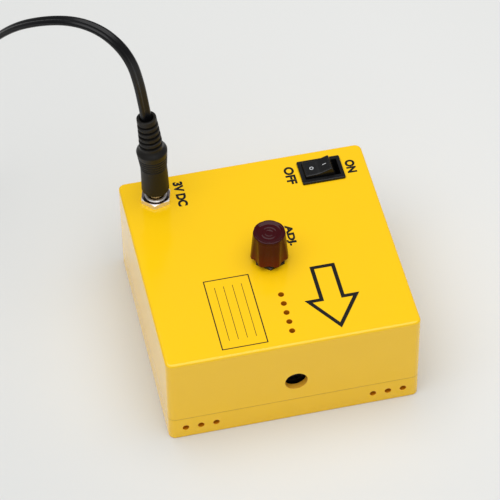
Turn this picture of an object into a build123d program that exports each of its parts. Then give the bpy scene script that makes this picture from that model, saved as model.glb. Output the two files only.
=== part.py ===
# Laser light source for optics lessons: a moulded case that magnets hold to a board,
# a laser that a knob tilts, a rocker switch, a round power inlet, and the plug, lead
# and plug-in supply that feed it.
# Sizes are in millimetres. The origin is the middle of the underside, +X is to the
# right, the beam leaves towards -Y and +Z is up.

import os
from math import acos, asin, atan2, copysign, cos, pi, radians, sin, sqrt, tan

from build123d import *

os.makedirs("parts", exist_ok=True)

# Clearances
turning_gap = 0.05  # round a shaft that turns in its hole
fixed_gap = 0.02  # round a pin or screw that is fixed in its hole
drop_in_gap = 0.1  # round a piece that is dropped into its opening
rest_gap = 0.3  # between pieces that move against each other

# Case
case_width = 90.0
case_depth = 88.0
case_height = 39.3
case_wall = 2.2
case_corner_radius = 2.5
case_inner_corner_radius = 1.2
top_edge_radius = 1.0
foot_edge_radius = 0.5
parting_height = 10.0
lip_height = 1.8
lip_thickness = 1.0
lip_play = 0.15
middle_x = 0.5  # the beam, the knob and the top vents share this line

# Case screws
screw_from_side = 4.8
screw_from_front = 7.6
screw_from_rear = 4.8
screw_post_radius = 3.3
screw_radius = 1.5
screw_head_radius = 2.5
screw_head_height = 1.8
screw_head_depth = 2.4
screw_reach = 17.0
driver_slot_width = 0.8
driver_slot_depth = 0.9

# Magnets
magnet_radius = 8.0
magnet_thickness = 3.0
magnet_from_side = 18.0
magnet_from_end = 17.0
magnet_recess = 0.1
magnet_cup_wall = 1.5

# Vent holes
front_vent_radius = 1.1
front_vent_count = 3
front_vent_pitch = 5.45
front_vent_from_side = 11.35
front_vent_height = 5.1
top_vent_radius = 1.0
top_vent_count = 5
top_vent_pitch = 4.22
top_vent_from_front = 14.9

# Laser
beam_height = 19.6
aperture_radius = 4.0
laser_from_front = 3.1
laser_radius = 6.0
laser_wall = 1.4
laser_length = 24.5
lens_ring_length = 1.5
lens_ring_radius = 5.6
lens_cell_length = 7.0
lens_radius = 3.3
lens_mouth_radius = 2.6
lens_edge_thickness = 1.2
lens_crown_height = 0.6
diode_flange_radius = 2.8
diode_flange_thickness = 1.2
diode_cap_radius = 1.8
diode_cap_height = 2.3
diode_seat_thickness = 2.6
diode_behind_seat = 5.1
diode_lead_radius = 0.22
diode_lead_circle = 1.27
focus_spring_radius = 3.9
focus_spring_wire = 0.25
focus_spring_turns = 3
driver_board_width = 8.6
driver_board_thickness = 1.0
driver_chip_size = 2.4
driver_chip_height = 0.9

# Cradle that tilts with the laser
saddle_half_width = 8.0
saddle_setback = 6.9
saddle_length = 19.0
saddle_bottom = 12.2
clamp_split = 0.3
clamp_setback = 16.4
clamp_length = 9.0
clamp_half_width = 13.0
clamp_ring_wall = 2.0
clamp_flange_thickness = 3.0
clamp_ear_depth = 5.5
clamp_screw_x = 10.5
clamp_screw_radius = 1.2
clamp_head_radius = 2.1
clamp_head_height = 1.5
clamp_screw_grip = 4.5
pivot_setback = 14.9
pivot_height = 8.8
pivot_pin_radius = 1.5
pivot_pin_overhang = 0.4
pivot_lug_half_width = 6.0
pivot_lug_radius = 3.0
pivot_ear_thickness = 2.0
tail_width = 8.0
tail_thickness = 2.4
tail_pad_radius = 4.5
tail_pad_height = 5.4

# Return spring under the cradle's tail
return_spring_radius = 2.6
return_spring_wire = 0.35
return_spring_turns = 5
return_spring_pocket_depth = 2.0
return_spring_pocket_radius = 3.4
return_spring_peg_radius = 1.6
return_spring_peg_height = 2.0

# Adjusting knob, its screw and its bushing
knob_from_front = 40.6
knob_lift = 2.0
knob_height = 12.0
knob_base_radius = 6.8
knob_top_radius = 5.75
knob_rim_chamfer = 0.4
knob_dish_radius = 4.5
knob_dish_depth = 0.6
knob_button_radius = 2.8
knob_button_height = 0.25
knob_flutes = 7
knob_flute_radius = 4.2
knob_flute_depth_low = 1.0
knob_flute_depth_high = 0.2
knob_first_ridge = -129.5
adjuster_radius = 2.0
adjuster_in_knob = 8.0
knob_insert_radius = 3.2
knob_insert_length = 8.8
bushing_radius = 3.5
bushing_flange_radius = 5.5
bushing_flange_thickness = 1.5
bushing_below_flange = 4.5
bushing_nut_across_flats = 10.0
bushing_nut_thickness = 1.0
bushing_nut_turn = -100.0
thrust_foot_radius = 3.0
thrust_foot_height = 4.0
thrust_foot_crown = 0.6
thrust_foot_socket = 2.4

# Power inlet
jack_from_side = 12.2
jack_from_rear = 9.8
jack_radius = 4.0
jack_above_case = 2.4
jack_rim_chamfer = 0.3
jack_bore_radius = 3.2
jack_flange_radius = 5.0
jack_flange_thickness = 1.6
jack_below_case = 12.3
jack_nut_across_flats = 10.0
jack_nut_thickness = 2.0
jack_nut_turn = 255.0
jack_insulator_radius = 4.4
jack_insulator_flange = 2.6
jack_insulator_inside = 3.0
jack_pin_radius = 1.0
jack_pin_below_rim = 1.6
jack_pin_stub = 0.5
jack_pin_tail_radius = 0.6
jack_pin_tail_length = 4.0
jack_tag_width = 2.0
jack_tag_thickness = 0.4
jack_tag_length = 8.6
jack_tag_offset = 3.6

# Plug on the lead, with a moulded body that leans over along a gentle arc
plug_above_case = 5.0
plug_barrel_radius = 2.75
plug_barrel_wall = 0.5
plug_barrel_in_body = 3.0
plug_contact_radius = 1.5
plug_bend_radius = 294.0
plug_lean_direction = (-0.8, 0.6)
plug_foot_radius = 4.95
plug_foot_chamfer = 0.3
plug_sleeve_radius = 4.75
plug_sleeve_length = 12.6
plug_step = 0.15
plug_grip_radius = 5.55
plug_grip_end = 19.6
plug_shoulder_end = 22.0
relief_root_radius = 4.25
relief_tip_radius = 3.45
relief_length = 13.3
relief_groove_count = 5
relief_groove_first = 1.4
relief_groove_pitch = 2.36
relief_groove_width = 0.9
relief_groove_depth = 0.5

# Flat twin lead, drawn as one round tube as wide as the lead
lead_radius = 2.1
lead_length = 1200.0
lead_first_run = 9.4
lead_bend_share = 0.45  # how much of the shorter run each bend may take
lead_arch = [  # how far out in the direction the plug leans, and how far above its foot
    (4.5, 52.3),
    (6.2, 60.0),
    (10.5, 67.4),
    (17.9, 72.3),
    (27.9, 72.7),
    (39.6, 68.0),
    (51.8, 60.0),
    (62.7, 48.4),
    (70.1, 34.7),
    (74.5, 18.2),
]
lead_drop = [(78.0, 46.0), (82.0, 30.5), (88.0, 16.0), (97.5, 5.6)]  # out, above the table
lead_landing = 110.0
lead_table_run = 10.8
lead_table_headings = (166.0, 191.0)
coil_play = 0.6
coil_full_turns = 6
coil_end_heading = 270.0
coil_steps_per_layer = 6
coil_straight = 4.2
coil_tail = 16.0

# Plug-in supply at the far end of the lead
supply_relief_length = 20.0
supply_relief_tip_radius = 3.2
supply_relief_root_radius = 4.6
supply_relief_grooves = 4
supply_relief_groove_pitch = 3.4
supply_relief_groove_width = 1.2
supply_relief_groove_depth = 0.7
supply_width = 40.0
supply_height = 26.0
supply_rear_length = 35.0
supply_front_length = 9.0
supply_wall = 2.0
supply_front_thickness = 3.0
supply_corner_radius = 5.0
supply_edge_radius = 1.5
supply_nose_width = 35.3
supply_nose_height = 13.7
supply_nose_length = 6.0
mains_pin_radius = 2.0
mains_pin_length = 19.0
mains_pin_spread = 18.6
mains_pin_socket = 6.0
supply_rib_height = 2.0
supply_rib_width = 2.0
supply_rib_spread = 24.0
supply_rib_length = 26.0
supply_board_width = 33.0
supply_board_length = 30.0
transformer_width = 16.0
transformer_core_length = 9.0
transformer_winding_length = 15.0
transformer_height = 13.5
transformer_frame = 2.5

# Rocker switch
switch_from_side = 17.1
switch_from_rear = 10.4
bezel_width = 15.8
bezel_depth = 11.2
bezel_height = 1.0
bezel_corner_radius = 0.5
bezel_edge_radius = 0.35
switch_body_width = 14.4
switch_body_depth = 9.6
switch_body_below = 13.0
switch_floor_thickness = 1.5
switch_mouth_width = 13.0
switch_mouth_depth = 7.8
switch_barb_reach = 0.7
switch_barb_length = 2.5
switch_barb_width = 4.0
rocker_tilt = 12.5
rocker_pivot_below = 3.88
rocker_half_length = 4.95
rocker_tip_height = 6.2
rocker_valley_height = 5.0
rocker_shoulder_height = 1.0
rocker_belly_half_width = 2.2
rocker_belly_depth = 1.5
rocker_tip_radius = 0.4
rocker_width = 7.2
trunnion_radius = 1.0
trunnion_length = 0.8
rocker_stem_radius = 1.9
rocker_stem_end = 3.6
plunger_radius = 1.1
plunger_length = 4.4
plunger_tip_below_pivot = 5.6
plunger_bore_top = 2.0
switch_spring_radius = 0.8
switch_spring_wire = 0.14
switch_spring_turns = 3
contact_length = 10.0
contact_width = 3.0
contact_thickness = 0.5
contact_tilt = 6.0
contact_knuckle_radius = 0.6
switch_tag_width = 2.8
switch_tag_thickness = 0.5
switch_tag_below = 7.0
switch_tag_step = 4.5
switch_tag_drop = 0.17

# Circuit board and what is soldered to it, in places counted from the board's middle
board_width = 50.0
board_depth = 28.0
board_thickness = 1.6
board_from_rear = 3.0
board_height = 6.0
board_post_radius = 2.6
board_hole_spread_x = 44.0
board_hole_spread_y = 22.0
board_screw_radius = 1.1
board_screw_head_radius = 2.0
board_screw_head_height = 1.4
board_screw_grip = 3.2
component_lead_radius = 0.3
component_lead_stub = 0.8
component_lift = 1.0
capacitor_radius = 4.0
capacitor_height = 11.5
capacitor_place = (6.0, 3.0)
capacitor_lead_pitch = 3.5
transistor_radius = 2.3
transistor_flat = 1.3
transistor_height = 4.8
transistor_lift = 3.0
transistor_place = (-5.0, 3.0)
transistor_lead_pitch = 1.27
resistor_radius = 1.15
resistor_length = 6.4
resistor_places = [(0.0, -8.0), (0.0, -4.0)]
diode_body_radius = 1.35
diode_body_length = 5.2
diode_place = (-10.0, 9.0)
axial_lead_reach = 10.2

# Insulated wires inside the case, and where they meet the circuit board
wire_radius = 0.7
wire_bend = 2.0
inlet_pads = [(-18.0, -1.0), (-18.0, 8.0)]
switch_pads = [(17.0, -1.0), (17.0, 4.0)]
laser_pad_forward = 12.0
laser_wire_side = 7.5
laser_wire_turn = 10.6
laser_wire_rise = 5.4
laser_wire_end_side = 2.6
laser_wire_end_rise = 1.9

# Heights and places that follow from the sizes above
ceiling_height = case_height - case_wall
floor_top = case_wall
boss_foot = parting_height + lip_height + rest_gap
inner_width = case_width - 2 * case_wall
inner_depth = case_depth - 2 * case_wall
front_face_y = -case_depth / 2
rear_face_y = case_depth / 2
screw_x = case_width / 2 - screw_from_side
screw_front_y = front_face_y + screw_from_front
screw_back_y = rear_face_y - screw_from_rear
magnet_spread_x = case_width - 2 * magnet_from_side
magnet_spread_y = case_depth - 2 * magnet_from_end
front_vent_middle = case_width / 2 - front_vent_from_side
top_vent_middle_y = front_face_y + top_vent_from_front
laser_front_y = front_face_y + laser_from_front
saddle_front_y = laser_front_y + saddle_setback
saddle_back_y = saddle_front_y + saddle_length
clamp_y = laser_front_y + clamp_setback
pivot_y = laser_front_y + pivot_setback
knob_y = front_face_y + knob_from_front
jack_x = jack_from_side - case_width / 2
jack_y = rear_face_y - jack_from_rear
switch_x = case_width / 2 - switch_from_side
switch_y = rear_face_y - switch_from_rear
board_middle_y = rear_face_y - board_from_rear - board_depth / 2
screw_places = [(x, y) for x in (-screw_x, screw_x) for y in (screw_front_y, screw_back_y)]
magnet_cup_ceiling = magnet_recess + magnet_thickness + drop_in_gap
magnet_cup_height = magnet_cup_ceiling + magnet_cup_wall
barrel_front_y = laser_front_y + lens_ring_length
barrel_back_y = barrel_front_y + laser_length
barrel_bore_radius = laser_radius - laser_wall
diode_seat_y = barrel_back_y - diode_behind_seat
spring_seat_y = diode_seat_y - diode_seat_thickness
driver_board_y = barrel_back_y + rest_gap
saddle_top = beam_height - clamp_split / 2
tail_pad_top = saddle_bottom + tail_pad_height
thrust_foot_bottom = tail_pad_top + rest_gap
thrust_foot_top = thrust_foot_bottom + thrust_foot_height
adjuster_bottom = thrust_foot_top - thrust_foot_socket + turning_gap
knob_bottom = case_height + knob_lift
adjuster_top = knob_bottom + adjuster_in_knob
bushing_bottom = ceiling_height - bushing_flange_thickness - bushing_below_flange
bushing_top = case_height + bushing_nut_thickness
jack_top = case_height + jack_above_case
jack_bottom = case_height - jack_below_case
jack_insulator_top = jack_bottom + jack_insulator_inside
jack_insulator_bottom = jack_bottom - jack_insulator_flange
jack_tail_end = jack_insulator_bottom - jack_pin_stub - jack_pin_tail_length
jack_tag_end = jack_bottom - jack_tag_length
plug_bottom = case_height + plug_above_case
plug_barrel_bottom = jack_insulator_top + rest_gap
plug_barrel_top = plug_bottom + plug_barrel_in_body
plug_bore_radius = plug_barrel_radius - plug_barrel_wall
plug_length = plug_shoulder_end + relief_length
rocker_pivot_z = case_height - rocker_pivot_below
switch_bottom = case_height - switch_body_below
switch_floor = switch_bottom + switch_floor_thickness
contact_z = rocker_pivot_z - plunger_tip_below_pivot - rest_gap - contact_thickness / 2
switch_post_top = contact_z - contact_knuckle_radius - rest_gap
switch_tag_end = switch_bottom - switch_tag_below
board_top = board_height + board_thickness
wire_run_height = (board_top + jack_tag_end) / 2
laser_pad_y = board_middle_y - laser_pad_forward
laser_wire_turn_y = driver_board_y + laser_wire_turn
laser_wire_rise_y = driver_board_y + laser_wire_rise
laser_wire_end_height = beam_height + laser_wire_end_rise
lead_foot_z = board_height - component_lead_stub

across_x = Plane(origin=(middle_x, 0, 0), x_dir=(0, 1, 0), z_dir=(1, 0, 0))
laser_plane = Plane(origin=(middle_x, 0, beam_height), x_dir=(0, 1, 0), z_dir=(1, 0, 0))
laser_axis = Axis((middle_x, 0, beam_height), (0, 1, 0))
knob_plane = Plane(origin=(middle_x, knob_y, 0), x_dir=(1, 0, 0), z_dir=(0, -1, 0))
knob_axis = Axis((middle_x, knob_y, 0), (0, 0, 1))
jack_plane = Plane(origin=(jack_x, jack_y, 0), x_dir=(1, 0, 0), z_dir=(0, -1, 0))
jack_axis = Axis((jack_x, jack_y, 0), (0, 0, 1))


def across_beam(y):
    """Plane square to the beam at depth y, centred on the beam and facing back."""
    return Plane(origin=(middle_x, y, beam_height), x_dir=(-1, 0, 0), z_dir=(0, 1, 0))


def hexagon_nut(x, y, z, across_flats, thickness, bore, turn):
    """Hexagon nut whose corners are turned off at its upper face."""
    corner = across_flats / 2 / cos(radians(30))
    corner_drop = (corner - across_flats / 2) * 0.6
    with BuildPart() as nut:
        with BuildSketch(Plane((x, y, z))):
            RegularPolygon(corner, 6, rotation=turn)
        extrude(amount=thickness)
        with BuildSketch(Plane(origin=(x, y, z), x_dir=(1, 0, 0), z_dir=(0, -1, 0))):
            with BuildLine():
                Polyline(
                    (0, 0),
                    (corner + corner_drop, 0),
                    (corner + corner_drop, thickness - corner_drop),
                    (corner, thickness - corner_drop),
                    (across_flats / 2, thickness),
                    (0, thickness),
                    close=True,
                )
            make_face()
        revolve(axis=Axis((x, y, z), (0, 0, 1)), mode=Mode.INTERSECT)
        with BuildSketch(Plane((x, y, z))):
            Circle(bore)
        extrude(amount=thickness, mode=Mode.SUBTRACT)
    return nut


def coil_spring(foot, direction, length, radius, wire, turns):
    """Round-wire spring that fills the length between its two seats."""
    along = Vector(*direction).normalized()
    with BuildPart() as spring:
        with BuildLine() as wire_path:
            Helix(
                pitch=(length - 2 * wire) / turns,
                height=length - 2 * wire,
                radius=radius,
                center=Vector(*foot) + along * wire,
                direction=along,
            )
        with BuildSketch(Plane(origin=wire_path.line @ 0, z_dir=wire_path.line % 0)):
            Circle(wire)
        sweep(path=wire_path.line, is_frenet=True)
    return spring


def bent_wire(points):
    """Insulated wire along straight runs that one bend radius joins."""
    with BuildPart() as wire:
        with BuildLine() as route:
            FilletPolyline(*points, radius=wire_bend)
        with BuildSketch(Plane(origin=route.line @ 0, z_dir=route.line % 0)):
            Circle(wire_radius)
        sweep(path=route.line)
    return wire


def axial_components(places, body_radius, body_length):
    """Lying round components, each with two leads bent down through the circuit board."""
    body_z = board_top + component_lift + body_radius
    with BuildPart() as components:
        for x, y in places:
            left = x - axial_lead_reach / 2
            right = x + axial_lead_reach / 2
            with BuildLine() as lead:
                FilletPolyline(
                    (left, y, lead_foot_z),
                    (left, y, body_z),
                    (right, y, body_z),
                    (right, y, lead_foot_z),
                    radius=3 * component_lead_radius,
                )
            with BuildSketch(Plane(origin=lead.line @ 0, z_dir=lead.line % 0)):
                Circle(component_lead_radius)
            sweep(path=lead.line)
            with BuildSketch(Plane.YZ.offset(x - body_length / 2)):
                with Locations((y, body_z)):
                    Circle(body_radius)
            extrude(amount=body_length)
    return components


# Upper shell of the case, which carries the inlet, the switch and the knob's bushing
with BuildPart() as top_shell:
    with BuildSketch(Plane.XY.offset(parting_height)):
        RectangleRounded(case_width, case_depth, case_corner_radius)
    extrude(amount=case_height - parting_height)
    fillet(top_shell.edges().group_by(Axis.Z)[-1], top_edge_radius)
    with BuildSketch(Plane.XY.offset(parting_height)):
        RectangleRounded(inner_width, inner_depth, case_inner_corner_radius)
    extrude(amount=ceiling_height - parting_height, mode=Mode.SUBTRACT)
    lip_room = 2 * (lip_thickness + lip_play)
    with BuildSketch(Plane.XY.offset(parting_height)):
        RectangleRounded(inner_width + lip_room, inner_depth + lip_room, case_inner_corner_radius)
    extrude(amount=lip_height + lip_play, mode=Mode.SUBTRACT)
    with BuildSketch(Plane.XY.offset(boss_foot)):
        with Locations(*screw_places):
            Circle(screw_post_radius)
    extrude(amount=ceiling_height - boss_foot)
    with BuildSketch(Plane.XY.offset(boss_foot)):
        with Locations(*screw_places):
            Circle(screw_radius + fixed_gap)
    extrude(amount=screw_head_depth + screw_reach + rest_gap - boss_foot, mode=Mode.SUBTRACT)
    with BuildSketch(Plane.XY.offset(case_height)):
        with Locations((middle_x, top_vent_middle_y)):
            with GridLocations(top_vent_pitch, top_vent_pitch, 1, top_vent_count):
                Circle(top_vent_radius)
        with Locations((middle_x, knob_y)):
            Circle(bushing_radius + drop_in_gap)
        with Locations((jack_x, jack_y)):
            Circle(jack_radius + drop_in_gap)
        with Locations((switch_x, switch_y)):
            Rectangle(switch_body_width + 2 * drop_in_gap, switch_body_depth + 2 * drop_in_gap)
    extrude(amount=-case_wall, mode=Mode.SUBTRACT)
    with BuildSketch(across_beam(front_face_y)):
        Circle(aperture_radius)
    extrude(amount=case_wall, mode=Mode.SUBTRACT)
top_shell.part.label = "top_shell"
export_step(top_shell.part, "parts/top_shell.step")

# Lower shell: a tray with a lip, screw posts, magnet cups, posts for the circuit
# board, a peg for the return spring and the two ears that the cradle tilts between
with BuildPart() as base_shell:
    with BuildSketch(Plane.XY):
        RectangleRounded(case_width, case_depth, case_corner_radius)
    extrude(amount=parting_height)
    fillet(base_shell.edges().group_by(Axis.Z)[0], foot_edge_radius)
    with BuildSketch(Plane.XY.offset(floor_top)):
        RectangleRounded(inner_width, inner_depth, case_inner_corner_radius)
    extrude(amount=parting_height - floor_top, mode=Mode.SUBTRACT)
    lip_width = inner_width + 2 * lip_thickness
    lip_depth = inner_depth + 2 * lip_thickness
    with BuildSketch(Plane.XY.offset(parting_height)):
        RectangleRounded(lip_width, lip_depth, case_inner_corner_radius)
        RectangleRounded(inner_width, inner_depth, case_inner_corner_radius, mode=Mode.SUBTRACT)
    extrude(amount=lip_height)
    with BuildSketch(Plane.XY.offset(floor_top)):
        with Locations(*screw_places):
            Circle(screw_post_radius)
    extrude(amount=parting_height + lip_height - floor_top)
    with BuildSketch(Plane.XY.offset(floor_top)):
        with GridLocations(magnet_spread_x, magnet_spread_y, 2, 2):
            Circle(magnet_radius + fixed_gap + magnet_cup_wall)
    extrude(amount=magnet_cup_height - floor_top)
    with BuildSketch(Plane.XY.offset(floor_top)):
        with Locations((0, board_middle_y)):
            with GridLocations(board_hole_spread_x, board_hole_spread_y, 2, 2):
                Circle(board_post_radius)
    extrude(amount=board_height - floor_top)
    with BuildSketch(Plane.XY.offset(floor_top)):
        with Locations((middle_x, knob_y)):
            Circle(return_spring_peg_radius)
    extrude(amount=return_spring_peg_height)
    ear_inner_x = pivot_lug_half_width + rest_gap
    for ear_x in (-ear_inner_x - pivot_ear_thickness, ear_inner_x):
        with BuildSketch(across_x.offset(ear_x)):
            with Locations((pivot_y, (floor_top + pivot_height) / 2)):
                Rectangle(2 * pivot_lug_radius, pivot_height - floor_top)
            with Locations((pivot_y, pivot_height)):
                Circle(pivot_lug_radius)
                Circle(pivot_pin_radius + fixed_gap, mode=Mode.SUBTRACT)
        extrude(amount=pivot_ear_thickness)
    with BuildSketch(Plane.XY):
        with GridLocations(magnet_spread_x, magnet_spread_y, 2, 2):
            Circle(magnet_radius + fixed_gap)
    extrude(amount=magnet_cup_ceiling, mode=Mode.SUBTRACT)
    with BuildSketch(Plane.XY):
        with Locations(*screw_places):
            Circle(screw_head_radius + rest_gap)
    extrude(amount=screw_head_depth, mode=Mode.SUBTRACT)
    with BuildSketch(Plane.XY):
        with Locations(*screw_places):
            Circle(screw_radius + drop_in_gap)
    extrude(amount=parting_height + lip_height, mode=Mode.SUBTRACT)
    with BuildSketch(Plane.XY.offset(board_height)):
        with Locations((0, board_middle_y)):
            with GridLocations(board_hole_spread_x, board_hole_spread_y, 2, 2):
                Circle(board_screw_radius + fixed_gap)
    extrude(amount=-board_screw_grip - drop_in_gap, mode=Mode.SUBTRACT)
    with BuildSketch(Plane.XZ.offset(-front_face_y)):
        for side in (-1, 1):
            with Locations((side * front_vent_middle, front_vent_height)):
                with GridLocations(front_vent_pitch, front_vent_pitch, front_vent_count, 1):
                    Circle(front_vent_radius)
    extrude(amount=-case_wall, mode=Mode.SUBTRACT)
base_shell.part.label = "base_shell"
export_step(base_shell.part, "parts/base_shell.step")

# Four disc magnets, pressed into their cups from below
with BuildPart() as holding_magnets:
    with BuildSketch(Plane.XY.offset(magnet_recess)):
        with GridLocations(magnet_spread_x, magnet_spread_y, 2, 2):
            Circle(magnet_radius)
    extrude(amount=magnet_thickness)
holding_magnets.part.label = "holding_magnets"
export_step(holding_magnets.part, "parts/holding_magnets.step")

# Four screws that come up through the lower shell into the upper shell's bosses
with BuildPart() as case_screws:
    screw_head_bottom = screw_head_depth - screw_head_height
    with BuildSketch(Plane.XY.offset(screw_head_bottom)):
        with Locations(*screw_places):
            Circle(screw_head_radius)
    extrude(amount=screw_head_height)
    with BuildSketch(Plane.XY.offset(screw_head_depth)):
        with Locations(*screw_places):
            Circle(screw_radius)
    extrude(amount=screw_reach)
    with BuildSketch(Plane.XY.offset(screw_head_bottom)):
        with Locations(*screw_places):
            Rectangle(1.3 * screw_head_radius, driver_slot_width)
            Rectangle(driver_slot_width, 1.3 * screw_head_radius)
    extrude(amount=driver_slot_depth, mode=Mode.SUBTRACT)
case_screws.part.label = "case_screws"
export_step(case_screws.part, "parts/case_screws.step")

# Threaded metal barrel of the inlet, with its flange under the case's top
with BuildPart() as jack_barrel:
    with BuildSketch(jack_plane):
        with BuildLine():
            Polyline(
                (jack_bore_radius, jack_bottom),
                (jack_radius, jack_bottom),
                (jack_radius, ceiling_height - jack_flange_thickness),
                (jack_flange_radius, ceiling_height - jack_flange_thickness),
                (jack_flange_radius, ceiling_height),
                (jack_radius, ceiling_height),
                (jack_radius, jack_top - jack_rim_chamfer),
                (jack_radius - jack_rim_chamfer, jack_top),
                (jack_bore_radius, jack_top),
                close=True,
            )
        make_face()
    revolve(axis=jack_axis)
jack_barrel.part.label = "jack_barrel"
export_step(jack_barrel.part, "parts/jack_barrel.step")

# Hexagon nut that clamps the inlet to the case
jack_nut = hexagon_nut(
    jack_x, jack_y, case_height, jack_nut_across_flats, jack_nut_thickness,
    jack_radius + fixed_gap, jack_nut_turn,
)
jack_nut.part.label = "jack_nut"
export_step(jack_nut.part, "parts/jack_nut.step")

# Insulator in the foot of the inlet, with a hole for the pin and a slot for the tag
with BuildPart() as jack_insulator:
    with BuildSketch(Plane.XY.offset(jack_insulator_bottom)):
        with Locations((jack_x, jack_y)):
            Circle(jack_insulator_radius)
    extrude(amount=jack_insulator_flange)
    with BuildSketch(Plane.XY.offset(jack_bottom)):
        with Locations((jack_x, jack_y)):
            Circle(jack_bore_radius - fixed_gap)
    extrude(amount=jack_insulator_inside)
    with BuildSketch(Plane.XY.offset(jack_insulator_bottom)):
        with Locations((jack_x, jack_y)):
            Circle(jack_pin_radius + fixed_gap)
    extrude(amount=jack_insulator_flange + jack_insulator_inside, mode=Mode.SUBTRACT)
    with BuildSketch(Plane.XY.offset(jack_insulator_bottom)):
        with Locations((jack_x + jack_tag_offset, jack_y)):
            Rectangle(jack_tag_thickness + 2 * fixed_gap, jack_tag_width + 2 * fixed_gap)
    extrude(amount=jack_insulator_flange, mode=Mode.SUBTRACT)
jack_insulator.part.label = "jack_insulator"
export_step(jack_insulator.part, "parts/jack_insulator.step")

# Centre pin of the inlet, with a thin tail for the red wire
with BuildPart() as jack_center_pin:
    with BuildSketch(Plane.XY.offset(jack_insulator_bottom - jack_pin_stub)):
        with Locations((jack_x, jack_y)):
            Circle(jack_pin_radius)
    extrude(amount=jack_top - jack_pin_below_rim - jack_insulator_bottom + jack_pin_stub)
    chamfer(jack_center_pin.edges().group_by(Axis.Z)[-1], jack_pin_radius / 2)
    with BuildSketch(Plane.XY.offset(jack_tail_end)):
        with Locations((jack_x, jack_y)):
            Circle(jack_pin_tail_radius)
    extrude(amount=jack_pin_tail_length)
jack_center_pin.part.label = "jack_center_pin"
export_step(jack_center_pin.part, "parts/jack_center_pin.step")

# Tag that carries the inlet barrel's side of the supply to the black wire
with BuildPart() as jack_tag:
    with BuildSketch(Plane.XY.offset(jack_tag_end)):
        with Locations((jack_x + jack_tag_offset, jack_y)):
            Rectangle(jack_tag_thickness, jack_tag_width)
    extrude(amount=jack_tag_length)
jack_tag.part.label = "jack_tag"
export_step(jack_tag.part, "parts/jack_tag.step")

# Metal sleeve of the plug
with BuildPart() as plug_barrel:
    with BuildSketch(Plane.XY.offset(plug_barrel_bottom)):
        with Locations((jack_x, jack_y)):
            Circle(plug_barrel_radius)
            Circle(plug_bore_radius, mode=Mode.SUBTRACT)
    extrude(amount=plug_barrel_top - plug_barrel_bottom)
plug_barrel.part.label = "plug_barrel"
export_step(plug_barrel.part, "parts/plug_barrel.step")

# Insulating tube between the plug's sleeve and its inner contact
with BuildPart() as plug_insulator:
    with BuildSketch(Plane.XY.offset(plug_barrel_bottom)):
        with Locations((jack_x, jack_y)):
            Circle(plug_bore_radius - fixed_gap)
            Circle(plug_contact_radius + fixed_gap, mode=Mode.SUBTRACT)
    extrude(amount=plug_barrel_top - plug_barrel_bottom)
plug_insulator.part.label = "plug_insulator"
export_step(plug_insulator.part, "parts/plug_insulator.step")

# Inner contact of the plug, a tube that slides over the inlet's centre pin
with BuildPart() as plug_center_contact:
    with BuildSketch(Plane.XY.offset(plug_barrel_bottom)):
        with Locations((jack_x, jack_y)):
            Circle(plug_contact_radius)
            Circle(jack_pin_radius + turning_gap, mode=Mode.SUBTRACT)
    extrude(amount=plug_barrel_top - plug_barrel_bottom)
plug_center_contact.part.label = "plug_center_contact"
export_step(plug_center_contact.part, "parts/plug_center_contact.step")


def plug_point(along):
    """Point on the plug's bent centre line, and the way it points there."""
    turned = along / plug_bend_radius
    out = plug_bend_radius * (1 - cos(turned))
    point = Vector(
        jack_x + plug_lean_direction[0] * out,
        jack_y + plug_lean_direction[1] * out,
        plug_bottom + plug_bend_radius * sin(turned),
    )
    heading = Vector(
        plug_lean_direction[0] * sin(turned), plug_lean_direction[1] * sin(turned), cos(turned)
    )
    return point, heading


# Moulded body of the plug: sleeve, widening grip, shoulder and a grooved tail that
# guards the lead against sharp bends
plug_sections = [
    (0, plug_foot_radius - plug_foot_chamfer),
    (plug_foot_chamfer, plug_foot_radius),
    (plug_sleeve_length, plug_sleeve_radius),
    (plug_sleeve_length + plug_step, plug_sleeve_radius + plug_step),
    (plug_grip_end, plug_grip_radius),
    (plug_shoulder_end, relief_root_radius),
]
relief_taper = (relief_root_radius - relief_tip_radius) / relief_length
for groove in range(relief_groove_count):
    groove_middle = relief_groove_first + groove * relief_groove_pitch
    for step, depth in ((-1.5, 0), (-0.9, 1), (0.9, 1), (1.5, 0)):
        along = groove_middle + step * relief_groove_width / 3
        radius = relief_root_radius - relief_taper * along - depth * relief_groove_depth
        plug_sections.append((plug_shoulder_end + along, radius))
plug_sections.append((plug_length, relief_tip_radius))
beside_plug = (plug_lean_direction[1], -plug_lean_direction[0], 0)
with BuildPart() as plug_body:
    for along, radius in plug_sections:
        middle, heading = plug_point(along)
        with BuildSketch(Plane(origin=middle, x_dir=beside_plug, z_dir=heading)):
            Circle(radius)
    loft(ruled=True)
    with BuildSketch(Plane.XY.offset(plug_bottom)):
        with Locations((jack_x, jack_y)):
            Circle(plug_barrel_radius + fixed_gap)
    extrude(amount=plug_barrel_in_body, mode=Mode.SUBTRACT)
plug_body.part.label = "plug_body"
export_step(plug_body.part, "parts/plug_body.step")

# Free stretch of the lead: out of the plug, over in an arch and down to the table
lead_start, lead_start_heading = plug_point(plug_length)
lead_points = [lead_start, lead_start + lead_start_heading * lead_first_run]
for out, rise in lead_arch:
    lead_points.append(
        Vector(
            jack_x + plug_lean_direction[0] * out,
            jack_y + plug_lean_direction[1] * out,
            plug_bottom + rise,
        )
    )
for out, height in lead_drop + [(lead_landing, lead_radius)]:
    lead_points.append(
        Vector(jack_x + plug_lean_direction[0] * out, jack_y + plug_lean_direction[1] * out, height)
    )
for heading in lead_table_headings:
    step = Vector(cos(radians(heading)), sin(radians(heading)), 0) * lead_table_run
    lead_points.append(lead_points[-1] + step)
lead_bends = []
for before, corner, after in zip(lead_points, lead_points[1:], lead_points[2:]):
    turn = acos((corner - before).normalized().dot((after - corner).normalized()))
    shorter = min((corner - before).length, (after - corner).length)
    lead_bends.append(lead_bend_share * shorter / tan(turn / 2))
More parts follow.
